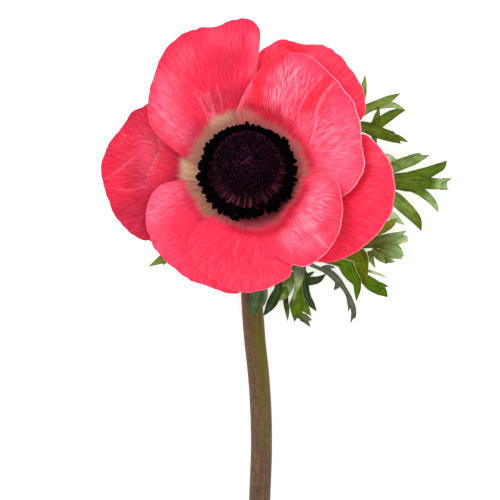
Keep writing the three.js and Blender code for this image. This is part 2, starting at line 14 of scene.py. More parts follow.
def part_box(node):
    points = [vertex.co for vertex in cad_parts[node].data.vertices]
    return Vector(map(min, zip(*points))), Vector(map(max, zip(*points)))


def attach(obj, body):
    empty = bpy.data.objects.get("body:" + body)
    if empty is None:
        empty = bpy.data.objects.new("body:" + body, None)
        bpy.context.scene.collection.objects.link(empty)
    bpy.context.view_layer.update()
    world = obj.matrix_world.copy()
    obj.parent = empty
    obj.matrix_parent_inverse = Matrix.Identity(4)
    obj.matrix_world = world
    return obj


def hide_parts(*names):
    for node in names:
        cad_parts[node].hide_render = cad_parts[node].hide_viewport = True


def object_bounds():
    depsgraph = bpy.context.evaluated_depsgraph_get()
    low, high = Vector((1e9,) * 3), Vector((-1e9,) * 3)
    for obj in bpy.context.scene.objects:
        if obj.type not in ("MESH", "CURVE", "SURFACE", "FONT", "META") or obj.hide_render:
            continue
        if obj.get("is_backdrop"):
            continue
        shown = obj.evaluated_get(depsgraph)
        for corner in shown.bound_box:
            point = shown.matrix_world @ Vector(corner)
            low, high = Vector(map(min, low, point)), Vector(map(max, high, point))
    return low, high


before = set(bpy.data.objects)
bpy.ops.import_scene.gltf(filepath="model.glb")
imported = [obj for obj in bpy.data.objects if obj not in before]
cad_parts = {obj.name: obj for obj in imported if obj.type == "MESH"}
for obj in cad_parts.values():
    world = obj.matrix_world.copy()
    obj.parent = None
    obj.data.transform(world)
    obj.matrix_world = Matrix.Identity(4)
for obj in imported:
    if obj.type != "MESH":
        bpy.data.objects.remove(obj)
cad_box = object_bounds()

MM = 0.001

# The bloom sits on the bent neck, tilted back towards +Y and a little to -X
BLOOM_HEIGHT = 31
BLOOM_TILT_BACK = 12
BLOOM_TILT_SIDE = 2
RECEPTACLE_TOP = 4.8
TEPAL_FOOT_R = 5.35
TEPAL_PITCH = 0.98  # from one layer of tepals to the next, at their feet
CREAM_RING_R = 19  # where the bowl turns up

# The stem and its node
STEM_R = 3.3
NODE_R = 3.9
BRACT_GAP = 0.3

# What the real parts measure, where the solids are thicker
TEPAL_THICKNESS = 0.42
BRACT_THICKNESS = 0.42

# How fine the pieces are: columns and rows of the grids that they are made of
TEPAL_GRID = (190, 96)
HEAD_GRID = (60, 40)
STAMEN_RING_GRID = (48, 14)
COLLAR_GRID = (36, 4)
STEM_COLUMNS = 48
STEM_ROWS_PER_SPAN = 9
LEAF_COLUMNS = 12
BLADE_ROWS = 48
FORK_ROWS = 24
RUN_STEPS = 30  # from one stop of a leaf to the next, before its rows are spaced evenly


# Small helpers

def scatter(i, salt):
    """Even, repeatable scatter in -1..1 for copy number i, a number or an array."""
    wave = np.sin(np.asarray(i, float) * 127.1 + salt * 311.7) * 43758.5453
    return 2 * (wave - np.floor(wave)) - 1


def smoothstep(x, low, high):
    t = np.clip((np.asarray(x, float) - low) / (high - low), 0, 1)
    return t * t * (3 - 2 * t)


def mix(a, b, t):
    return a + (b - a) * t


def unit(v):
    return v / np.linalg.norm(v, axis=-1, keepdims=True)


def around(angle, r, h):
    """Places at an angle and radius round the bloom's axis, at height h."""
    return np.c_[r * np.cos(angle), r * np.sin(angle), h]


def through_points(points, t):
    """Uniform Catmull-Rom values through a list of points, at each t in 0..1."""
    p = np.asarray(points, float)
    last = len(p) - 1
    at = np.minimum((t * last).astype(int), last - 1)
    f = (t * last - at)[..., None]
    a, b, c, d = (p[np.clip(at + k, 0, last)] for k in (-1, 0, 1, 2))
    return b + 0.5 * ((c - a) * f + (2 * a - 5 * b + 4 * c - d) * f ** 2
                      + (3 * b - a - 3 * c + d) * f ** 3)


def smooth_run(points, per_span):
    """Centripetal Catmull-Rom run through points, per_span steps from one to the next.

    What follows the three coordinates of a point, such as a width, is carried along.
    """
    p = [np.asarray(q, float) for q in points]
    p = [2 * p[0] - p[1], *p, 2 * p[-1] - p[-2]]
    run = []
    for k in range(1, len(p) - 2):
        a, b, c, d = p[k - 1:k + 3]
        ab, bc, cd = (np.linalg.norm((w - v)[:3]) ** 0.5 for v, w in ((a, b), (b, c), (c, d)))
        t1 = ((b - a) / ab - (c - a) / (ab + bc) + (c - b) / bc) * bc
        t2 = ((c - b) / bc - (d - b) / (bc + cd) + (d - c) / cd) * bc
        for f in np.arange(per_span) / per_span:
            run.append(b + t1 * f + (3 * (c - b) - 2 * t1 - t2) * f ** 2
                       + (2 * (b - c) + t1 + t2) * f ** 3)
    return np.array([*run, p[-2]])


def noise(x, y, seed):
    """Smooth value noise in -1..1 on a plane, for arrays of places."""
    x, y = np.asarray(x, float), np.asarray(y, float)
    x0, y0 = np.floor(x), np.floor(y)
    fx, fy = smoothstep(x - x0, 0, 1), smoothstep(y - y0, 0, 1)
    corner = lambda i, j: scatter((x0 + i) * 1.7 + (y0 + j) * 9.13, seed)
    return mix(mix(corner(0, 0), corner(1, 0), fx), mix(corner(0, 1), corner(1, 1), fx), fy)


# Where things are

STEM_LINE = [  # centre and radius, from the cut end to the node
    ((1.6, -145, STEM_R + 0.05), STEM_R), ((2.6, -122, 4), STEM_R), ((3.5, -101, 4.6), STEM_R),
    ((4, -83, 5.2), STEM_R), ((3.3, -64, 5.9), STEM_R), ((1.8, -50, 6.3), STEM_R),
    ((0.9, -36, 6.8), STEM_R), ((0.6, -24, 7.6), STEM_R), ((0.6, -17, 8.7), 3.6),
    ((0.7, -13, 10.4), NODE_R), ((0.7, -9, 13.3), 3.1), ((0.6, -5, 17.5), 2.8),
]
NODE_INDEX = 9

bloom_turn = np.array(Matrix.Rotation(math.radians(-BLOOM_TILT_BACK), 3, "X")
                      @ Matrix.Rotation(math.radians(-BLOOM_TILT_SIDE), 3, "Y"))
bloom_matrix = np.eye(4)
bloom_matrix[:3, :3] = bloom_turn
bloom_matrix[2, 3] = BLOOM_HEIGHT


def in_flower(points):
    """Places in the flower's frame, given in the bloom's frame."""
    return np.asarray(points, float) @ bloom_turn.T + (0, 0, BLOOM_HEIGHT)


STEM_LINE += [(tuple(in_flower((0, 0, h))), r)
              for h, r in ((-9, 2.8), (-5, 3.3), (-1.6, 4.9), (RECEPTACLE_TOP, 4.9))]
STEM_PLACES, STEM_RADII = zip(*STEM_LINE)


def carried_frames(run):
    """Side and back of a run at each of its points, without twist."""
    along = unit(np.gradient(run, axis=0))
    side = np.empty_like(run)
    last = np.array((1.0, 0, 0))
    for k, a in enumerate(along):
        last = unit(last - a * last.dot(a))
        side[k] = last
    return side, np.cross(side, along)


def tube(run, radii, angle, row):
    """Places on a tube round a run: at an angle and radius, by the numbered step of the run."""
    side, back = carried_frames(run)
    return run[row] + radii[..., None] * (np.cos(angle)[..., None] * side[row]
                                          + np.sin(angle)[..., None] * back[row])


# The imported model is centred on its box, so its stem's box says how far it was moved. These
# are the rings of the solid stem.
SOLID_STEPS, SOLID_SIDES = 3, 12
stem_run = smooth_run(STEM_PLACES, SOLID_STEPS)
row, side = np.mgrid[:len(stem_run), :SOLID_SIDES]
radii = np.interp(row / SOLID_STEPS, np.arange(len(STEM_RADII)), STEM_RADII)
stem_rings = tube(stem_run, radii, side * math.tau / SOLID_SIDES, row)
SHIFT = np.array(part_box("stem")[0]) / MM - stem_rings.reshape(-1, 3).min(axis=0)


def placed(points):
    """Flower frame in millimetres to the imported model's frame in metres."""
    return (np.asarray(points, float) + SHIFT) * MM


def fresh(primitive, name, **settings):
    """A new primitive of its own, selected alone."""
    bpy.ops.object.select_all(action="DESELECT")
    primitive(**settings)
    piece = bpy.context.object
    piece.name = piece.data.name = name
    return piece


def points_of(piece):
    points = np.empty(len(piece.data.vertices) * 3)
    piece.data.vertices.foreach_get("co", points)
    return points.reshape(-1, 3)


def set_points(piece, points):
    piece.data.vertices.foreach_set("co", np.asarray(points, float).ravel())
    piece.data.update()


def new_grid(name, columns, rows):
    """A flat grid primitive, and the place of each vertex across and along it, 0..1."""
    grid = fresh(bpy.ops.mesh.primitive_grid_add, name, x_subdivisions=columns,
                 y_subdivisions=rows, size=2)
    across, up, _ = (points_of(grid) / 2 + 0.5).T
    return grid, across, up


def paint(piece, name, values):
    """A number at each vertex, or one for all, which a material reads by name."""
    values = np.broadcast_to(np.asarray(values, np.float32), len(piece.data.vertices))
    made = piece.data.attributes.new(name, "FLOAT", "POINT")
    made.data.foreach_set("value", np.ascontiguousarray(values))


def only(piece):
    bpy.ops.object.select_all(action="DESELECT")
    piece.select_set(True)
    bpy.context.view_layer.objects.active = piece


def smooth_below(piece, degrees):
    """Shades the piece smooth where its faces meet at less than an angle."""
    only(piece)
    bpy.ops.object.shade_smooth_by_angle(angle=math.radians(degrees))


def apply_modifier(piece, kind, **settings):
    only(piece)
    modifier = piece.modifiers.new(kind, kind)
    for key, value in settings.items():
        setattr(modifier, key, value)
    bpy.ops.object.modifier_apply(modifier=modifier.name)


def thicken(piece, face, underside, thickness, **settings):
    """Turns a sheet into a blade of two materials, the face's on its rim too."""
    piece.data.materials.append(face)
    piece.data.materials.append(underside)
    apply_modifier(piece, "SOLIDIFY", thickness=thickness * MM, offset=0, material_offset=1,
                   material_offset_rim=0, **settings)


def sealed(piece, merge):
    """Merges the seams of a rolled-up grid, fills what is still open and turns faces out."""
    only(piece)
    bpy.ops.object.mode_set(mode="EDIT")
    bpy.ops.mesh.select_all(action="SELECT")
    bpy.ops.mesh.remove_doubles(threshold=merge)
    bpy.ops.mesh.select_all(action="DESELECT")
    bpy.ops.mesh.select_non_manifold()
    if piece.data.count_selected_items()[1]:
        bpy.ops.mesh.edge_face_add()
    bpy.ops.mesh.select_all(action="SELECT")
    bpy.ops.mesh.normals_make_consistent(inside=False)
    bpy.ops.object.mode_set(mode="OBJECT")


def copies(name, source, transforms, shades, material):
    """One mesh of many copies of source, each placed by a 4 x 4 matrix of the bloom's frame.

    The source's "tip" is carried along, and each copy has a shade of its "own".
    """
    points = points_of(source)
    count = len(points)
    places = np.einsum("kij,nj->kni", bloom_matrix @ np.array(transforms),
                       np.c_[points, np.ones(count)])[..., :3].reshape(-1, 3)
    faces = [tuple(polygon.vertices) for polygon in source.data.polygons]
    repeated = [tuple(v + k * count for v in face)
                for k in range(len(transforms)) for face in faces]
    made = bpy.data.meshes.new(name)
    made.from_pydata(placed(places).tolist(), [], repeated)
    made.polygons.foreach_set("use_smooth", [True] * len(made.polygons))
    made.materials.append(material)
    piece = bpy.data.objects.new(name, made)
    bpy.context.collection.objects.link(piece)
    tip = np.empty(count, np.float32)
    source.data.attributes["tip"].data.foreach_get("value", tip)
    paint(piece, "tip", np.tile(tip, len(transforms)))
    paint(piece, "own", np.repeat(shades, count))
    bpy.data.objects.remove(source)
    return piece


def stand_for(parts, node):
    """Joins the parts into one piece, says what it stands for and lets it ride on the body."""
    piece = parts[0]
    only(piece)
    for part in parts:
        part.select_set(True)
    if len(parts) > 1:
        bpy.ops.object.join()
    piece.name = piece.data.name = node
    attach(piece, "root")
    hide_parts(node)


# Materials

# Settings that many nodes share
RGBA = {"data_type": "RGBA", "out": 2}
SOFT = {"interpolation_type": "SMOOTHSTEP"}
PLUS, MINUS, TIMES = ({"operation": kind} for kind in ("ADD", "SUBTRACT", "MULTIPLY"))


def linear(colour):
    """sRGB hex text as the linear colour that a socket takes."""
    parts = [int(colour[k:k + 2], 16) / 255 for k in (1, 3, 5)]
    return (*(c / 12.92 if c <= 0.04045 else ((c + 0.055) / 1.055) ** 2.4 for c in parts), 1.0)


def add(tree, kind, inputs=(), out=0, stops=(), **settings):
    """Adds a node and gives one of its outputs.

    inputs are the first sockets in their order, or a dict of sockets. Each takes a value, a
    colour as hex text, or the output that feeds it. stops are the stops of a colour ramp.
    """
    made = tree.nodes.new("ShaderNode" + kind)
    for key, value in settings.items():
        setattr(made, key, value)
    for key, value in dict(inputs if isinstance(inputs, dict) else enumerate(inputs)).items():
        if isinstance(value, bpy.types.NodeSocket):
            tree.links.new(value, made.inputs[key])
        else:
            made.inputs[key].default_value = linear(value) if isinstance(value, str) else value
    for k, (place, colour) in enumerate(stops):
        step = made.color_ramp.elements[k] if k < 2 else made.color_ramp.elements.new(place)
        step.position = place
        step.color = linear(colour)
    return made.outputs[out] if made.outputs else None


def new_material(name):
    """A material, and the call that adds a node to it."""
    made = bpy.data.materials.new(name)
    made.use_nodes = True
    made.node_tree.nodes.clear()
    return made, partial(add, made.node_tree)


# What is painted on a tepal, in shares of colour: crimson, partly the tepal's own and partly
# painted shade in the valley at the foot of the wall, where tepals overlap and along margins;
# clear red, partly painted shade in curled margins and folds; pale washes, partly paler skin
# and partly painted highlight and sheen; zones where fine pale veins stand out, partly painted
# sheen; single pale veins and painted highlights along fold ridges; dry scars; and painted
# light on the cream ring and painted shade in its creases and next to the anthers
TEPAL_PAINTS = ("deep", "red", "pale", "veined", "line", "scar", "glow", "crease_shade")


def tepal_finish(name, cream, tone):
    """Fresh tepal skin: thin, satin and a little see-through, with veins fanning out.

    The eye sees a saturated pinkish red with fine pale streaks along the veins, a ragged
    cream ring round the middle and a thin pale line along the margin.
    """
    made, node = new_material(name)
    uv = node("UVMap", uv_map="UVMap")
    painted = {key: node("Attribute", out="Fac", attribute_name=key)
               for key in (*TEPAL_PAINTS, "ring_mm", "rim")}
    place = node("TexCoord", out="Object")
    # Streaks along the veins, about 1.2 mm apart half way out, finer ones between them, and
    # a crinkled grain of a millimetre
    wide_streaks, fine_streaks, grain = (
        node("TexNoise", {"Vector": node("Mapping", {0: uv, 3: scale}), "Scale": 1,
                          "Detail": detail, "Distortion": bend})
        for scale, detail, bend in (((44, 4, 1), 3, 0.35), ((150, 9, 1), 2, 0.25),
                                    ((76, 17, 1), 2, 0.5)))
    streaks = node("Math", (wide_streaks, fine_streaks), **PLUS)
    bright = node("MapRange", (streaks, 0.75, 1.3))
    # Pale washes, partly paler skin and partly painted highlight and sheen, are a little streaked
    # themselves
    wash = node("MapRange", (bright, 0, 1, 0.32, 0.62))
    wash = node("Math", (wash, painted["pale"]), **TIMES)
    lit = node("Math", (bright, tone["veins"]), **TIMES)
    lit = node("Math", (lit, wash), use_clamp=True, **PLUS)
    # Fine pale veins where they stand out, partly painted sheen
    crisp = node("MapRange", (fine_streaks, 0.46, 0.6))
    veined = node("Math", (painted["veined"], 0.05), operation="MAXIMUM")
    crisp = node("Math", (crisp, veined), **TIMES)
    hollow = node("MapRange", (fine_streaks, 0.5, 0.34, 0, 0.12))
    # The ring's border runs out along the veins, so it is moved by their streaks
    ragged = node("MapRange", (streaks, 0.7, 1.3, -0.9, 0.9))
    reach = node("Math", (painted["ring_mm"], ragged), **PLUS)
    in_ring = node("MapRange", (reach, cream["r"] + 1.3, cream["r"] - 1.3, 0, cream["share"]),
                   **SOFT)
    # Under the stamens the foot is painted dark: the dark centre of the flower, and painted shade
    # under the stamens
    foot = node("MapRange", (painted["ring_mm"], 14.6, 13), **SOFT)
    flesh = node("Mix", {0: fine_streaks, 6: cream["dark"], 7: cream["light"]}, **RGBA)
    # Painted light on the cream ring and painted shade in its creases and next to the anthers,
    # then the dark foot
    for share, tint in ((painted["glow"], "#E8D2A6"), (painted["crease_shade"], "#661C2E"),
                        (foot, "#1A0610")):
        flesh = node("Mix", {0: share, 6: flesh, 7: tint}, **RGBA)
    # The skin thins out at the margin; the pale line there is a painted highlight where the thin
    # margin catches the light and lets it through
    rim = node("MapRange", (node("SeparateXYZ", (uv,), 1), 0.988, 0.997), **SOFT)
    rim = node("Math", (rim, painted["rim"]), **TIMES)
    # Over the tepal's own red: crimson and clear red, partly painted shade; pale washes and pale
    # veins, partly painted highlight and sheen; the cream ring; the painted highlight along the
    # margin; and dry scars
    colour = tone["mid"]
    for share, tint in ((lit, "#FF85A2"), (hollow, tone["deep"]), (painted["deep"], tone["deep"]),
                        (painted["red"], "#FA1E38"), (crisp, "#FF9CB2"),
                        (painted["line"], "#FFA6BA"), (in_ring, flesh), (rim, "#FFA9BC"),
                        (painted["scar"], "#B08058")):
        colour = node("Mix", {0: share, 6: colour, 7: tint}, **RGBA)
    # The grain, specks of half a millimetre and soft blotches of about 9 mm
    specks = node("TexNoise", {"Vector": place, "Scale": 1700, "Detail": 1})
    blotch = node("TexNoise", {"Vector": place, "Scale": 110, "Detail": 2})
    mottle = node("Math", (grain, specks), **PLUS)
    mottle = node("Math", (mottle, blotch), **PLUS)
    shade = node("MapRange", (mottle, 1.15, 1.85, 0.85, 1.13))
    mottled = node("VectorMath", {0: colour, 3: shade}, operation="SCALE")
    wrinkles = node("Math", (streaks, grain), **PLUS)
    relief = node("Bump", {"Strength": 0.4, "Distance": 0.0003, "Height": wrinkles})
    skin = node("BsdfPrincipled", {
        "Base Color": mottled, "Roughness": 0.52, "IOR": 1.4, "Specular IOR Level": 0.22,
        "Subsurface Weight": 0.12, "Subsurface Radius": (1.0, 0.35, 0.3),
        "Subsurface Scale": 0.0008, "Sheen Weight": 0.08, "Sheen Roughness": 0.5,
        "Sheen Tint": "#FFB9C6", "Normal": relief})
    node("OutputMaterial", (skin,))
    return made


def underside_finish():
    """Back of the tepals: paler and silkier than the face, greenish at the foot."""
    made, node = new_material("tepal_silky_underside")
    uv = node("UVMap", uv_map="UVMap")
    ring = node("Attribute", out="Fac", attribute_name="ring_mm")
    fine = node("Mapping", {0: uv, 3: (90, 3, 1)})
    streaks = node("TexNoise", {"Vector": fine, "Scale": 1, "Detail": 3})
    silk = node("ValToRGB", (streaks,), stops=((0.3, "#E83A60"), (0.7, "#FA86A0")))
    foot = node("MapRange", (ring, 17, 6, 0, 0.75))
    blended = node("Mix", {0: foot, 6: silk, 7: "#C9B98A"}, **RGBA)
    relief = node("Bump", {"Strength": 0.4, "Distance": 0.0004, "Height": streaks})
    skin = node("BsdfPrincipled", {
        "Base Color": blended, "Roughness": 0.45, "IOR": 1.4, "Specular IOR Level": 0.4,
        "Subsurface Weight": 0.15, "Subsurface Radius": (1.0, 0.4, 0.3),
        "Subsurface Scale": 0.0012, "Sheen Weight": 0.35, "Sheen Roughness": 0.4,
        "Normal": relief})
    node("OutputMaterial", (skin,))
    return made


LEAF_MAPS = ("red_green", "blue_rib", "edge")


def leaf_finish(name, under):
    """Cut leaf of the bracts: smooth and satin, with a faint midrib and a paler margin.

    The colour of each place is painted in the maps "red_green" and "blue_rib"; "blue_rib"
    and "edge" also hold how clear the midrib and the pale margin are. The underside is a
    matt sage.
    """
    made, node = new_material(name)
    uv = node("UVMap", uv_map="UVMap")
    all_three = slice(3)
    across, along, _ = node("SeparateXYZ", (uv,), all_three)
    first, second, third = (node("SeparateXYZ", (node("UVMap", uv_map=key),), all_three)
                            for key in LEAF_MAPS)
    place = node("TexCoord", out="Object")
    # Blotches about 3 mm across, streaks along the blade and fine veins 0.5 mm apart that
    # lean out from the midrib
    blotch = node("TexNoise", {"Vector": place, "Scale": 340, "Detail": 3})
    run = node("Mapping", {0: uv, 3: (11, 5, 1)})
    streaks = node("TexNoise", {"Vector": run, "Scale": 1, "Detail": 3, "Distortion": 0.6})
    aside = node("Math", (node("Math", (across, 0.5), **MINUS),), operation="ABSOLUTE")
    lean = node("Math", (aside, 1.1), **TIMES)
    feather = node("Math", (along, lean), **MINUS)
    vein_at = node("CombineXYZ", (feather, across))
    veins = node("TexNoise", {"Vector": vein_at, "Scale": 14, "Detail": 2})
    colour = node("CombineColor", (first[0], first[1], second[0]))
    mottle = node("Math", (blotch, streaks), **PLUS)
    mottle = node("Math", (mottle, veins), **PLUS)
    shade = node("MapRange", (mottle, 1.2, 1.8, 0.52, 1.5))
    # Darker towards the margins: the darker edges of the leaves, and painted shade between the
    # lobes
    edge_dark_and_shade = node("MapRange", (aside, 0.25, 0.5, 1.05, 0.74))
    shade = node("Math", (shade, edge_dark_and_shade), **TIMES)
    blade = node("VectorMath", {0: colour, 3: shade}, operation="SCALE")
    rib = node("MapRange", (aside, 0.06, 0.015), **SOFT)
    rib = node("Math", (rib, second[1]), **TIMES)
    edge = node("MapRange", (aside, 0.44, 0.485), **SOFT)
    edge = node("Math", (edge, third[0]), **TIMES)
    lines = node("Math", (rib, edge), operation="MAXIMUM")
    if under:
        sage = node("Mix", {0: mottle, 6: "#7E9A6C", 7: "#B4C9A6"}, **RGBA)
        colour = node("Mix", {0: 0.3, 6: sage, 7: blade}, **RGBA)
    else:
        colour = node("Mix", {0: lines, 6: blade, 7: "#B4C68E"}, **RGBA)
    sunk = node("Math", (mottle, rib), **MINUS)
    relief = node("Bump", {"Strength": 0.5, "Distance": 0.0003, "Height": sunk})
    skin = node("BsdfPrincipled", {
        "Base Color": colour, "Roughness": 0.6 if under else 0.5, "IOR": 1.42,
        "Specular IOR Level": 0.06, "Subsurface Weight": 0.03,
        "Subsurface Radius": (0.4, 0.8, 0.2), "Subsurface Scale": 0.0008,
        "Sheen Weight": 0.15 if under else 0.0, "Normal": relief})
    node("OutputMaterial", (skin,))
    return made


def stem_finish():
    """Stem skin: brownish olive, greener near the bloom, with fine streaks along it."""
    made, node = new_material("stem_ribbed_skin")
    uv = node("UVMap", uv_map="UVMap")
    place = node("TexCoord", out="Object")
    # Streaks 0.5 mm wide and a centimetre or two long, and specks of 0.3 mm
    run = node("Mapping", {0: uv, 3: (36, 16, 1)})
    streaks = node("TexNoise", {"Vector": run, "Scale": 1, "Detail": 4})
    specks = node("TexNoise", {"Vector": place, "Scale": 700, "Detail": 2})
    patches = node("TexNoise", {"Vector": place, "Scale": 120, "Detail": 2})
    grain = node("Math", (streaks, specks), **PLUS)
    brown = node("ValToRGB", (node("MapRange", (grain, 0.65, 1.35)),),
                 stops=((0.0, "#523A30"), (1.0, "#745A48"), (0.5, "#5E4535")))
    green = node("Mix", {0: streaks, 6: "#4A4810", 7: "#6E6620"}, **RGBA)
    round_stem, high, _ = node("SeparateXYZ", (uv,), slice(3))
    up = node("MapRange", (high, 0.12, 0.34, 0, 0.95), **SOFT)
    patchy = node("MapRange", (patches, 0.35, 0.65, 0.7, 1.3))
    # The side that faced the light, along the seam of the map, is the greener one
    far = node("Math", (round_stem, 0.08), **PLUS)
    far = node("Math", (far, 0.5), operation="PINGPONG")
    sunny = node("MapRange", (far, 0.3, 0.06, 0.1), **SOFT)
    share = node("Math", (up, patchy), use_clamp=True, **TIMES)
    share = node("Math", (share, sunny), **TIMES)
    colour = node("Mix", {0: share, 6: brown, 7: green}, **RGBA)
    relief = node("Bump", {"Strength": 0.5, "Distance": 0.0004, "Height": grain})
    skin = node("BsdfPrincipled", {"Base Color": colour, "Roughness": 0.55, "IOR": 1.42,
                                   "Specular IOR Level": 0.15, "Normal": relief})
    node("OutputMaterial", (skin,))
    return made


def cut_finish():
    """Cut end of the stem: pale wet pith with darker strands in a ring."""
    made, node = new_material("stem_cut_pith")
    cells = node("TexVoronoi", {"Vector": node("TexCoord", out="Object"), "Scale": 1500})
    colour = node("ValToRGB", (cells,), stops=((0.0, "#8F9A5A"), (0.6, "#C9CB98")))
    relief = node("Bump", {"Strength": 0.4, "Distance": 0.0002, "Height": cells})
    pith = node("BsdfPrincipled", {"Base Color": colour, "Roughness": 0.35, "IOR": 1.38,
                                   "Normal": relief})
    node("OutputMaterial", (pith,))
    return made


def dark_finish(name, low, high, roughness, grain, sheen, gloss, cool=None):
    """Dark tissue of the middle: low at the root of each copy and high at its tip.

    cool is a second colour of the tips, in patches of a few millimetres.
    """
    made, node = new_material(name)
    tip, own = (node("Attribute", out="Fac", attribute_name=key) for key in ("tip", "own"))
    place = node("TexCoord", out="Object")
    grit = node("TexNoise", {"Vector": place, "Scale": grain, "Detail": 2})
    share = node("Math", (tip, own), use_clamp=True, **TIMES)
    patch = node("TexNoise", {"Vector": place, "Scale": 320})
    patch = node("MapRange", (patch, 0.5, 0.7))
    ends = node("Mix", {0: patch, 6: high, 7: cool or high}, **RGBA)
    colour = node("Mix", {0: share, 6: low, 7: ends}, **RGBA)
    relief = node("Bump", {"Strength": 0.5, "Distance": 0.0002, "Height": grit})
    skin = node("BsdfPrincipled", {
        "Base Color": colour, "Roughness": roughness, "IOR": 1.4, "Specular IOR Level": gloss,
        "Sheen Weight": sheen, "Sheen Roughness": 0.4, "Sheen Tint": "#8A5AA0",
        "Normal": relief})
    node("OutputMaterial", (skin,))
    return made


# Tepals

# The cream ring of the two back tepals on the right, which hardly shows
BACK_CREAM = dict(crease_shade_strength=0.5, r=18.0, share=0.9, light="#E39A8A", dark="#B9625A")
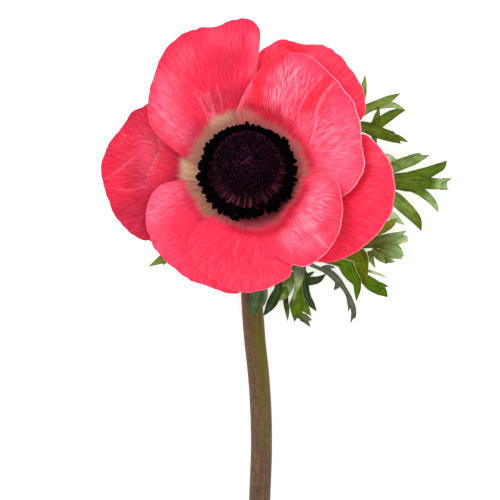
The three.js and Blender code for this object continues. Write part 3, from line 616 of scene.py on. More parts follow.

# middle is the direction of the middle line in degrees round the bloom, foot the half width
# of the foot in degrees, and layer counts up from the back. margin is a list of (degrees from
# the middle line, radius), clockwise side first. raise_ends lifts the two sides, wave is
# depth, count and phase round the bloom, and the rim strengths are how clear the painted
# highlight along the margin is. tone is the colours of the blade and how clear its veins
# are, cream the colours of the cream ring, its radius and how strong it and the painted shade
# in its creases are. Each mark is (strength, half width, and places as (degrees round the
# bloom, radius)). A ridge is in mm of height, a ring in mm that the cream ring reaches further
# out, the others in share of colour; the crease marks paint shade next to the anthers, and the
# crimson, red and pale marks are partly painted shade and highlight as TEPAL_PAINTS tells.
TEPALS = [
    dict(node="tepal_1", middle=120, layer=1, foot=34, raise_ends=(0.2, 2.2), wave=(0.5, 9, 0.4),
        rim=(0, 0, 0.1, 0.2), tone=dict(mid="#EC1B44", deep="#B8123A", veins=0.05),
        cream=dict(crease_shade_strength=0.35, r=18.1, share=0.92, light="#C99C80", dark="#9C6456"),
        margin=[(-35.8, 35.5), (-35.5, 40.2), (-30.8, 43.2), (-22, 43.3), (-17, 42.7), (-10, 43.9),
            (2, 43.1), (15, 38.7), (26, 35.6), (37, 31), (46, 22), (52, 15)],
        marks=dict(
            ring=[(1.2, 3.6, (106, 18.5), (121, 18.5))],
            glow=[(0.4, 1.3, (110, 18.4), (124, 18.6))],
            deep=[(0.55, 3.6, (96, 22), (104, 24), (115, 22.6)), (0.4, 5, (102, 25), (103, 31),
              (97, 35)), (0.4, 1.8, (136, 20), (154, 19.4), (165, 19))],
            veined=[(0.35, 2.2, (122, 20), (121, 24), (122, 27)), (0.25, 4, (150, 24), (146, 32))],
            line=[(0.45, 0.22, (123, 18.9), (119, 21.7), (117, 26)), (0.35, 0.2, (128, 19.6),
              (125, 22.8), (124, 28)), (0.3, 0.2, (114, 19), (111, 22), (110, 27))],
            pale=[(0.8, 4.2, (152, 22), (150, 26.8), (141, 30.8), (134, 34.6)), (0.3, 4, (146, 24),
              (155, 28)), (0.4, 3, (118, 38), (126, 36)), (0.6, 1.8, (87, 28.6), (85, 33.2),
              (87, 37.9)), (0.3, 3, (104, 40), (96, 38))],
            scar=[(0.8, 0.22, (93.8, 28.4), (94.3, 28.6)), (0.8, 0.22, (98.8, 28.9),
              (99.3, 29.1))])),
    dict(node="tepal_2", middle=184, layer=0, foot=30, raise_ends=(0, 0), wave=(0.5, 10, 1.7),
        rim=(0.1, 0.1), tone=dict(mid="#CC123C", deep="#AC0A32", veins=0.04),
        cream=dict(crease_shade_strength=0.35, r=20.4, share=0.95, light="#E4C09C", dark="#CA9A78"),
        margin=[(-46, 31), (-38, 35.2), (-29, 38.4), (-20, 39.9), (-13, 42), (-3, 42.9), (8, 42.5),
            (18, 41.5), (27, 39.5), (33, 36), (34, 27)],
        marks=dict(
            glow=[(0.5, 2, (168, 18), (172, 19))],
            deep=[(0.6, 1.8, (171, 22), (187, 22)), (0.6, 2.8, (184, 33), (191, 35.8),
              (199, 39.6)), (0.85, 5, (204, 30), (200, 36), (208, 34), (213, 36)),
              (0.6, 0.5, (150, 36.8), (160, 39), (170, 41.8), (181, 43), (194, 42.1), (206, 40.4),
              (214, 38))],
            red=[(0.3, 3, (173, 24.8), (184, 26.5)), (0.35, 4, (171, 38), (182, 40), (192, 38))],
            pale=[(0.35, 4, (160, 29), (168, 29), (181, 30))],
            veined=[(0.1, 5, (165, 34), (175, 40))],
            line=[(0.22, 0.3, (170, 31.6), (177, 35.2), (182, 38.5), (185, 41.9)),
              (0.2, 0.22, (164, 30), (165, 32.1), (167, 34.5)), (0.25, 0.22, (190, 31.2),
              (191, 34.5), (190, 39))],
            ridge=[(-0.3, 0.7, (161, 28.6), (166, 27.1), (172, 27.7), (179, 28.8), (186, 30.3)),
              (-0.5, 2.4, (171, 33), (175, 36.4), (182, 39), (188, 41.4))],
            scar=[(0.75, 0.17, (157, 30), (161, 28.6), (166, 27.1), (172, 27.7), (179, 28.8),
              (186, 30.3), (191, 30.3)), (0.8, 0.25, (165.2, 37.7), (164.8, 37.9)),
              (0.5, 0.25, (168.8, 38.2), (169.2, 38.3)), (0.8, 0.22, (178, 32), (179, 32.6))])),
    dict(node="tepal_3", middle=226, layer=1, foot=25, raise_ends=(1.8, 0), wave=(0.45, 8, 2.9),
        rim=(0.5, 0.2, 0.1, 0), tone=dict(mid="#F42850", deep="#C0143C", veins=0.1),
        cream=dict(crease_shade_strength=0.5, r=17.7, share=0.92, light="#CBA07E", dark="#946248"),
        margin=[(-37, 20), (-34, 26.5), (-26, 31), (-13, 35), (0, 37), (14, 37.7), (28, 38),
            (40, 38), (47, 32)],
        marks=dict(
            ring=[(1.3, 3.5, (224, 18), (236, 18)), (1.4, 2.2, (191, 18), (199, 18))],
            deep=[(0.5, 1.6, (200, 19.2), (216, 20), (232, 21))],
            pale=[(0.6, 4, (195, 22.8), (199, 27), (208, 31)), (0.3, 3, (208, 31), (222, 35.2))],
            veined=[(0.25, 4, (200, 24), (208, 31))],
            red=[(0.35, 3, (222, 24), (227, 28.5))])),
    dict(node="tepal_4", middle=290, layer=3, foot=36, raise_ends=(0.6, 1.4), wave=(0.4, 7, 4.1),
        rim=(0.1, 0.05, 0.2, 0.6, 0.9, 0.7), tone=dict(mid="#F8264A", deep="#C4082E", veins=0.05),
        cream=dict(crease_shade_strength=0.95, r=17.1, share=0.85, light="#B46E64", dark="#7A3238"),
        margin=[(-59, 23.5), (-56, 29), (-45, 34), (-33, 36.8), (-20, 39), (-9, 38), (0, 36.6),
            (3, 33.8), (7, 35.6), (15, 36.3), (28, 35), (44, 31), (57, 26.8), (63, 21)],
        marks=dict(
            ring=[(1.7, 3.2, (278, 19), (300, 18.8)), (0.9, 3, (264, 18), (268, 18)),
              (1.5, 2.5, (240, 17), (248, 17))],
            deep=[(0.7, 1.6, (284, 20.2), (303, 20.6)), (0.9, 1.7, (256, 18.4), (264, 19.2),
              (278, 20.6), (292, 20.8), (304, 19.6), (316, 18.2), (339, 18)),
              (0.9, 0.35, (286.5, 29.5), (290, 32.3), (293, 34.1))],
            line=[(0.35, 1.2, (316, 22.5), (313, 26.5)), (0.45, 0.25, (312, 24), (312, 31.7),
              (312, 35.9)), (0.2, 0.3, (296, 24), (295, 31)), (0.2, 0.2, (264, 22), (262, 28)),
              (0.2, 0.2, (276, 24), (275, 31))],
            crease_shade=[(0.55, 1.5, (262, 15.6), (269, 16.4)), (0.85, 2, (268, 16.2), (290, 16.4),
              (308, 15.4), (319, 14.6))],
            pale=[(1.0, 4.2, (341, 22.5), (328, 24), (314, 25)), (1.0, 1.2, (318, 22), (313, 26)),
              (0.7, 3, (299, 25), (301, 29), (311, 31))],
            veined=[(0.55, 3.5, (332, 24), (314, 25), (302, 26))],
            red=[(0.4, 4, (262, 25), (270, 30))],
            ridge=[(0.5, 1.1, (313, 19), (311, 27.7), (312, 35)), (-0.5, 0.8, (285, 28.5),
              (293, 34))])),
    dict(node="tepal_5", middle=38, layer=2, foot=34, raise_ends=(0, 1.6), wave=(0.45, 8, 5.3),
        rim=(0.9, 1, 0.9, 0.6, 0.1, 0.4, 0.7), tone=dict(mid="#F82E54", deep="#C4082E", veins=0.1),
        cream=dict(crease_shade_strength=0.4, r=18.2, share=0.85, light="#DA8C7E", dark="#B0564F"),
        margin=[(-64, 23), (-58, 29.5), (-47, 33.3), (-40, 34.4), (-28, 34.1), (-12, 35.6),
            (2, 36.1), (18, 36.3), (27, 36), (35, 34.4), (42, 30.4), (50, 25), (60, 19.5),
            (64, 16)],
        marks=dict(
            ring=[(-1.9, 3.2, (47, 17), (60, 16.8), (73, 17)), (-1.0, 3, (14, 17), (34, 17))],
            crease_shade=[(0.4, 1.7, (8, 15.7), (30, 15.5), (56, 14.9), (80, 15.1))],
            pale=[(0.6, 2, (36, 20.8), (40, 23.5)), (0.6, 2.5, (20, 23), (5, 22.4)),
              (0.9, 0.9, (99, 18.3), (93, 21.3), (88, 24.6)), (0.3, 3.4, (68, 25), (62, 31)),
              (0.62, 6.5, (18, 28), (8, 27), (355, 26)), (0.8, 4.5, (5, 26), (349, 25))],
            deep=[(0.6, 1.8, (352, 20), (345, 21)), (1.0, 2.3, (45, 17), (60, 16.6), (73, 17.2)),
              (0.9, 1.6, (4, 18.6), (19, 17.9), (32, 17.2), (45, 17), (60, 18.2), (72, 18.8),
              (83, 18.9), (90, 18.6))],
            red=[(1.0, 2.0, (81, 21.5), (83, 25), (82, 28), (78, 31), (72, 35)),
              (0.85, 2.2, (44, 25.5), (46, 29.7), (45, 35))],
            veined=[(0.85, 3.4, (69, 23), (67, 27), (64, 30)), (0.6, 2, (55, 21), (57, 27),
              (56, 30)), (0.35, 5, (28, 26), (10, 28))],
            line=[(0.3, 0.2, (70, 22.2), (71, 25), (69, 28.7), (65, 33.3)), (0.4, 0.2, (65, 21.3),
              (67, 24.3), (65, 28), (61, 33.3)), (0.4, 0.2, (59, 20.5), (63, 23.5), (62, 27.3),
              (58, 33.4)), (0.35, 0.2, (54, 20.2), (59, 22.8), (58, 26.6), (55, 33.4)),
              (0.35, 0.2, (47, 20), (53, 22.4), (54, 26.2), (52, 32.7)), (0.5, 0.25, (41, 20.1),
              (48, 22.8), (50, 25.9), (50, 29.7), (49, 34.3)), (0.6, 0.3, (23, 20.5), (31, 23.6),
              (39, 26.7), (42, 30.9), (42, 35.2)), (0.25, 0.25, (14, 20.5), (19, 22.9), (22, 26),
              (22, 29.9)), (0.25, 0.25, (29, 20.5), (34, 22.4), (36, 25.2))],
            ridge=[(0.4, 0.9, (59, 20), (67, 23), (69, 27.5), (68, 34)), (0.5, 1.0, (31, 23.6),
              (39, 26.7), (42, 31), (42, 35.5)), (0.3, 0.8, (46, 20), (50, 24), (50, 30),
              (49, 34))])),
    dict(node="tepal_6", middle=54, layer=0, foot=30, raise_ends=(0, 0), wave=(0.6, 9, 0.9),
        rim=(0.3, 0.1), tone=dict(mid="#F8284C", deep="#C8143A", veins=0.16),
        cream=BACK_CREAM,
        margin=[(-35, 32), (-31, 37.2), (-24, 40.1), (-12, 41.9), (0, 42.7), (6, 42.2), (13, 40.2),
            (17, 39.9), (20, 40.2), (25, 37.6), (31, 33.8), (34, 27)],
        marks=dict(
            red=[(0.7, 1.6, (73, 38.4), (66, 38.2), (60, 41))],
            ridge=[(-0.6, 0.9, (74, 41), (70, 37.5), (64, 37))],
            pale=[(0.6, 1.6, (61, 38), (60, 42))],
            deep=[(0.3, 4, (50, 40), (35, 41), (25, 41))])),
    dict(node="tepal_7", middle=340, layer=0, foot=26, raise_ends=(0, 0), wave=(0.5, 8, 3.6),
        rim=(0.2, 0.5, 0.7, 0.7), tone=dict(mid="#EE1C42", deep="#CC143C", veins=0.05),
        cream=BACK_CREAM,
        margin=[(-46, 24), (-41, 32), (-31, 37.3), (-19, 41.3), (-5, 44.2), (6, 44.4), (17, 42.7),
            (24, 40.6), (30, 38), (35, 35.7), (38, 31), (38, 25)],
        marks=dict(
            deep=[(0.2, 4, (322, 39), (332, 41.4), (343, 42))],
            pale=[(0.3, 3, (2, 38), (10, 41))])),
]

# Depths of a tepal's relief: waves and nicks of the outline, 3 to 6 mm long, then veins,
# puckers at the foot of the wall and the crimped margin
OUTLINE_WAVE = 0.24
OUTLINE_NICK = 0.13
VEIN_DEPTH = 0.05
PUCKER_DEPTH = 0.07
CRIMP_DEPTH = 0.4
RIM_THINNING = 0.55
VEINS = 70  # across a tepal
VEIN_FAN = 1.7  # above 1, they spread early on their way to the margin
PUCKERS = 58  # round the bloom
PUCKER_R = 19.5
CREASE_R = 16.6


def bowl_height(r, degrees):
    """Rise of the bowl: flat to the cream ring, then a wall, then an outer part.

    The wall is steeper in the east, and the outer part hangs down in the south.
    """
    east = 0.5 + 0.5 * np.cos(np.radians(degrees - 15))
    south = smoothstep(np.cos(np.radians(degrees - 275)), 0.2, 1)
    foot_slope = 0.03
    wall_slope = mix(0.42, 0.68, east)
    rim_slope = mix(0.24, 0.3, east) - 0.42 * south
    ramp = lambda start, soft: soft * np.log1p(np.exp((r - start) / soft))
    wall_start = CREAM_RING_R - mix(5.5, 2.5, east)
    rim_start = mix(26, 28, east) + 3 * south
    return (foot_slope * (r - TEPAL_FOOT_R) + wall_slope * ramp(wall_start, 1.8)
            - (wall_slope - rim_slope) * ramp(rim_start, 3))


def stroke(run, half, r, degrees):
    """How near each place of a tepal is to a run of (degrees, radius), 1 on it."""
    x, y, _ = around(np.radians(degrees), r, 0 * r).T
    turns, reaches = np.array(run, float).T
    ends = around(np.radians(turns), reaches, 0 * reaches)[:, :2]
    if len(ends) > 2:
        ends = through_points(ends, np.linspace(0, 1, 6 * len(ends)))
    nearest = np.full(len(r), np.inf)
    for (ax, ay), (bx, by) in zip(ends[:-1], ends[1:]):
        dx, dy = bx - ax, by - ay
        t = np.clip(((x - ax) * dx + (y - ay) * dy) / (dx * dx + dy * dy), 0, 1)
        nearest = np.minimum(nearest, np.hypot(x - ax - t * dx, y - ay - t * dy))
    return np.exp(-(nearest / half) ** 2)


def tepal_piece(spec, number, underside):
    """A tepal: its veins fan out from the narrow foot to the waved margin."""
    piece, across, up = new_grid(spec["node"], *TEPAL_GRID)
    # The grid runs clockwise, so that its upper side is the face of the tepal
    turn, reach = through_points(spec["margin"], 1 - across).T
    reach += OUTLINE_WAVE * noise(turn / 5, 0 * turn, number)
    reach += OUTLINE_NICK * noise(turn / 2, 0 * turn, 30 + number)
    start = mix(-spec["foot"], spec["foot"], 1 - across)
    r = mix(TEPAL_FOOT_R, reach, up)
    degrees = spec["middle"] + mix(start, turn, 1 - (1 - up) ** VEIN_FAN)
    # The layers stand further apart outwards
    outward = np.clip((r - TEPAL_FOOT_R) / 16, 0, 1)
    pitch = TEPAL_PITCH + 0.65 * outward + 0.9 * smoothstep(r, 22, 42)
    aside = ((degrees - spec["middle"] + 540) % 360 - 180) / 50
    raised = np.where(aside < 0, *spec["raise_ends"])
    depth, count, phase = spec["wave"]
    height = (bowl_height(r, degrees) + spec["layer"] * pitch + raised * aside ** 2 * outward
              + depth * smoothstep(r, 20, 40) * np.sin(np.radians(degrees) * count + phase))
    height += VEIN_DEPTH * noise(across * VEINS, up * 3, 7 + number) * smoothstep(up, 0.1, 0.5)
    puckers = np.cos(np.radians(degrees) * PUCKERS + 3 * noise(degrees / 9, r / 9, 3))
    height += PUCKER_DEPTH * puckers * np.exp(-((r - PUCKER_R) / 3.2) ** 2)
    height += CRIMP_DEPTH * noise(turn / 3.2, up * 5, 11 + number) * smoothstep(up, 0.82, 1)
    colour = dict.fromkeys(TEPAL_PAINTS, np.zeros(len(r)))
    ring = r.copy()
    for kind, marks in spec["marks"].items():
        for strength, half, *run in marks:
            near = strength * stroke(run, half, r, degrees)
            if kind == "ridge":
                height += near * (1 - 0.6 * smoothstep(up, 0.9, 1))
            elif kind == "ring":
                ring -= near
            else:
                colour[kind] = np.maximum(colour[kind], near)
    # Painted shade in the creases between the puckers at the foot of the wall
    patchy = 0.65 + 0.35 * noise(degrees / 11, r / 11, 8)
    crease_shade_strength = (spec["cream"]["crease_shade_strength"] * patchy * np.clip(-puckers, 0, 1) ** 3
               * np.exp(-((r - CREASE_R) / 2.6) ** 2))
    colour["crease_shade"] = np.maximum(colour["crease_shade"], crease_shade_strength)
    colour["scar"] = colour["scar"] * smoothstep(noise(r * 1.7, degrees * 0.9, 5), -0.5, 0.4)
    colour["line"] = colour["line"] * (0.6 + 0.4 * noise(r * 0.6, degrees * 0.4, 9))
    rim = through_points([(value,) for value in spec["rim"]], 1 - across)[:, 0]
    rim *= 0.6 + 0.4 * noise(turn / 7, 0 * turn, 50 + number)
    for key, values in {**colour, "ring_mm": ring, "rim": rim}.items():
        paint(piece, key, values)
    set_points(piece, placed(in_flower(around(np.radians(degrees), r, height))))
    group = piece.vertex_groups.new(name="thickness")
    for k, value in enumerate(1 - RIM_THINNING * smoothstep(up, 0.5, 1)):
        group.add([k], float(value), "REPLACE")
    face = tepal_finish(f"tepal_satin_skin_{number + 1}", spec["cream"], spec["tone"])
    thicken(piece, face, underside, TEPAL_THICKNESS, vertex_group=group.name)
    piece.vertex_groups.clear()
    smooth_below(piece, 60)
    stand_for([piece], spec["node"])


underside = underside_finish()
for number, spec in enumerate(TEPALS):
    tepal_piece(spec, number, underside)


# Pistil head

# Profiles are lists of (radius, height)
HEAD_PROFILE = [(4.2, 5.15), (4.4, 5.9), (6.5, 7.3), (8.1, 9.1), (8.8, 10.9), (8.9, 12.4),
                (8.4, 13.9), (7.5, 15.2), (6.1, 16.2), (4.4, 16.9), (2.6, 17.3), (0.02, 17.45)]
STYLES = 3600
STYLE_LENGTH = 1.25
STYLE_WIDTHS = (0.17, 0.075)  # half widths at the root and at the tip
STYLE_ROOT_DEPTH = 0.15
LOWEST_STYLE = 7.6
GOLDEN_TURN = math.pi * (3 - math.sqrt(5))


def revolved(name, profile, grid):
    """A grid rolled up round the bloom's axis, closed at its seam and both ends."""
    piece, across, up = new_grid(name, *grid)
    r, h = through_points(profile, up).T
    set_points(piece, placed(in_flower(around(across * math.tau, r, h))))
    sealed(piece, 0.02 * MM)
    bpy.ops.object.shade_smooth()
    return piece


def thread(columns, rows, widths, bend, tip):
    """A thin tapering thread one long, root at the origin, rolled up from a grid.

    widths are its half widths at both ends, bend says how far aside it lies at each height
    and tip what is painted there.
    """
    piece, across, up = new_grid("thread", columns, rows)
    points = around(across * math.tau, mix(*widths, up), up)
    points[:, 0] += bend(up)
    set_points(piece, points)
    sealed(piece, 0.001)
    paint(piece, "tip", tip(points_of(piece)[:, 2]))
    return piece


def turned_to(direction, spin, length, width, root):
    """4 x 4 matrix that stands a copy on root along direction, turned by spin."""
    z = unit(direction)
    helper = np.array((0.0, 0, 1)) if abs(z[2]) < 0.9 else np.array((1.0, 0, 0))
    x = unit(np.cross(helper, z))
    y = np.cross(z, x)
    x, y = x * math.cos(spin) + y * math.sin(spin), y * math.cos(spin) - x * math.sin(spin)
    matrix = np.eye(4)
    matrix[:3] = np.c_[x * width, y * width, z * length, root]
    return matrix


def pistil_piece():
    """The dome and its many fine styles, laid out in the spiral that such heads grow in."""
    core = revolved("pistil_core", HEAD_PROFILE, HEAD_GRID)
    profile = through_points(HEAD_PROFILE, np.linspace(0, 1, 400))[::-1]
    steps = np.hypot(*np.diff(profile, axis=0).T)
    area = np.r_[0, np.cumsum(steps * (profile[1:, 0] + profile[:-1, 0]) / 2)]
    area_end = area[len(profile) - np.searchsorted(profile[:, 1][::-1], LOWEST_STYLE)]
    slope = unit(np.gradient(profile, axis=0))
    transforms, shades = [], []
    for i in range(STYLES):
        k = min(int(np.searchsorted(area, area_end * (i + 0.5) / STYLES)), len(profile) - 1)
        r, h = profile[k]
        angle = i * GOLDEN_TURN + 0.12 * scatter(i, 1) / max(r, 1)
        out = np.array((math.cos(angle), math.sin(angle), 0.0))
        normal = np.array((-slope[k, 1] * out[0], -slope[k, 1] * out[1], slope[k, 0]))
        normal *= 1 if normal[2] > 0 or normal.dot(out) > 0 else -1
        lean = normal + (0, 0, 0.25) + 0.18 * np.array([scatter(i, s) for s in (2, 3, 4)])
        root = out * (r - 0.25) + (0, 0, h - STYLE_ROOT_DEPTH)
        length = STYLE_LENGTH + 0.25 * scatter(i, 5)
        transforms.append(turned_to(lean, scatter(i, 6) * math.pi, length, 1, root))
        # A few stand out, more of them over the middle, where a painted sheen lightens them
        lit = 0.26 + 0.94 * math.exp(-((out[0] * r + 0.3) ** 2 + (out[1] * r + 0.3) ** 2) / 11)
        shades.append(lit * (0.5 + 0.5 * scatter(i, 7)) ** 2.8)
    flesh = dark_finish("style_velvet_tissue", "#040103", "#B44088", 0.65, 2500, 0.02, 0.08,
                        cool="#6A4A86")
    style = thread(4, 3, STYLE_WIDTHS, lambda up: 0.28 * up ** 2,
                   lambda z: smoothstep(z, 0.3, 1))
    core.data.materials.append(flesh)
    for key in ("tip", "own"):
        paint(core, key, 0)
    stand_for([core, copies("styles", style, transforms, shades, flesh)], "pistil_head")


pistil_piece()


# Stamens

# From the inside out: how many, where they root and where their anthers stand
WHORLS = [
    (44, 5.8, 11.8, 9.8), (52, 6.3, 12.3, 9.4), (56, 6.7, 12.7, 8.8), (60, 7.1, 13.1, 8.2),
    (62, 7.5, 13.5, 7.4), (50, 7.8, 13.9, 6.6),
]
STAMEN_RING_PROFILE = [(5.3, 4.3), (8.1, 4.3), (8.3, 4.8), (8.1, 5.25), (6.8, 5.5), (5.4, 5.3),
                       (5.25, 4.8), (5.3, 4.3)]
STAMEN_ROOT_HEIGHT = 4.9
FILAMENT_WIDTHS = (0.1, 0.07)
ANTHER_HALF_SIZE = (0.72, 0.6, 1.12)


def anther():
    """One anther: a long pod of two pollen sacs with a furrow between, tip along +Z."""
    pod = fresh(bpy.ops.mesh.primitive_uv_sphere_add, "anther", segments=12, ring_count=8,
                radius=1)
    x, y, z = points_of(pod).T
    furrow = 1 - 0.3 * np.exp(-(x / 0.35) ** 2)
    paint(pod, "tip", smoothstep(z, -1, 1) * 0.4)
    width, depth, length = ANTHER_HALF_SIZE
    set_points(pod, np.c_[x * width, y * depth * furrow, z * length])
    return pod


def stamen_piece():
    """The ring they grow from, the filaments and the near-black anthers on them."""
    ring = revolved("stamen_ring", STAMEN_RING_PROFILE, STAMEN_RING_GRID)
    threads, pods, shades, pod_shades = [], [], [], []
    number = 0
    for whorl, (count, root_r, reach, rise) in enumerate(WHORLS):
        for i in range(count):
            number += 1
            angle = (i + 0.37 * whorl + 0.3 * scatter(i, whorl)) / count * math.tau
            out = np.array((math.cos(angle), math.sin(angle), 0.0))
            aside = np.array((-out[1], out[0], 0.0))
            # The ring reaches further out on the side that faces down the stem
            spread = 0.3 if whorl < len(WHORLS) - 1 else 0.6
            far = reach - 0.1 * out[0] - 1.1 * out[1] + spread * scatter(i, whorl + 5)
            high = rise + 0.5 * scatter(i, whorl + 9)
            root = out * root_r + (0, 0, STAMEN_ROOT_HEIGHT)
            top = out * far + (0, 0, high) + aside * 0.4 * scatter(i, whorl + 12)
            length = np.linalg.norm(top - root)
            z = (top - root) / length
            x = unit(np.cross(aside, z))
            matrix = np.eye(4)
            matrix[:3] = np.c_[x, np.cross(z, x), z * length, root]
            threads.append(matrix)
            # Painted light: filaments on the open side, down the stem and to the right, are
            # painted lit, the others painted in shade
            lit_side = 0.12 + 0.88 * smoothstep(out.dot((0.5, -0.87, 0)), -0.1, 0.7)
            shades.append(lit_side * (0.5 + 0.5 * scatter(number, 21)) ** 3.2)
            lie = unit(out * (0.5 + 0.14 * whorl) + (0, 0, 0.7 + 0.3 * scatter(number, 22))
                       + aside * 0.35 * scatter(number, 23))
            size = 1 + 0.12 * scatter(number, 24)
            pods.append(turned_to(lie, scatter(number, 25) * 0.6, size, size, top))
            pod_shades.append(0.5 + 0.5 * scatter(number, 26))
    thread_skin = dark_finish("filament_glossy_thread", "#0C0207", "#FF8CAC", 0.4, 900, 0.0, 0.12)
    pod_skin = dark_finish("anther_powdery_sac", "#000001", "#030204", 0.8, 2200, 0.0, 0.04)
    filament = thread(6, 7, FILAMENT_WIDTHS, lambda up: 0.7 * np.sin(up * math.pi),
                      lambda z: 1 - 0.97 * smoothstep(z, 0.6, 0.9))
    ring.data.materials.append(thread_skin)
    paint(ring, "tip", 0.1)
    paint(ring, "own", 0.2)
    stand_for([ring, copies("filaments", filament, threads, shades, thread_skin),
               copies("anthers", anther(), pods, pod_shades, pod_skin)], "stamens")


stamen_piece()


# Stem

def stem_piece():
    """Stem, node, neck and receptacle as one ribbed tube with a clean cut at its end."""
    run = smooth_run(STEM_PLACES, STEM_ROWS_PER_SPAN)
    rows = len(run) - 1
    piece, across, up = new_grid("stem", STEM_COLUMNS, rows)
    radii = through_points([(r,) for r in STEM_RADII], up)[:, 0]
    angle = -across * math.tau
    # Low ribs, the fine hollows between them and a slow unevenness along the stem
    ribs = 0.05 * np.cos(13 * angle + 0.8 * np.sin(up * 9)) + 0.03 * np.cos(29 * angle)
    uneven = 0.07 * noise(np.cos(angle) * 2 + 5, up * 26 + np.sin(angle), 3)
    calm = smoothstep(up, 0.995, 0.97)
    points = tube(run, radii + (ribs + uneven) * calm, angle, np.rint(up * rows).astype(int))
    lowest = 0.05
    points[:, 2] = np.maximum(points[:, 2], lowest)
    set_points(piece, placed(points))
    sealed(piece, 0.01 * MM)
    piece.data.materials.append(stem_finish())
    piece.data.materials.append(cut_finish())
    caps = [face for face in piece.data.polygons if len(face.vertices) > 8]
    cut = min(caps, key=lambda face: face.center.y)
    # A rim of skin stays round the pith
    for face in piece.data.polygons:
        face.select = face.index == cut.index
    bpy.ops.object.mode_set(mode="EDIT")
    bpy.ops.mesh.select_mode(type="FACE")
    bpy.ops.mesh.inset(thickness=0.35 * MM)
    bpy.ops.object.mode_set(mode="OBJECT")
    for face in piece.data.polygons:
        if face.select and len(face.vertices) > 8:
            face.material_index = 1
    smooth_below(piece, 50)
    stand_for([piece], "stem")


stem_piece()


# Bracts

TOUCH = 0.43  # height of a tip that rests on the surface
FORK_SUNK = -0.14  # of a fork's root under the face of the blade that it grows from
# Colours of the leaves, how clear the midrib is there and how clear the pale margin
LEAF_COLOURS = {
    "dark": ("#31451F", 0.12, 0.0), "pine": ("#435A38", 0.12, 0.0), "moss": ("#546A18", 0.1, 0.0),
    "leaf": ("#516B14", 0.1, 0.0), "grass": ("#708A3A", 0.1, 0.1), "lime": ("#788620", 0.1, 0.3),
    "willow": ("#749150", 0.25, 0.1), "fresh": ("#567506", 0.1, 0.25),
    "bright": ("#4C7006", 0.05, 0.15), "brass": ("#596104", 0.0, 0.9),
    "sage": ("#93B270", 0.1, 0.1), "umber": ("#54581E", 0.1, 0.0), "pale": ("#BAD29C", 0.0, 0.0),
    "grey": ("#6E7A5E", 0.2, 0.0), "slate": ("#566248", 0.2, 0.0), "tan": ("#B3A278", 0.0, 0.0),
}
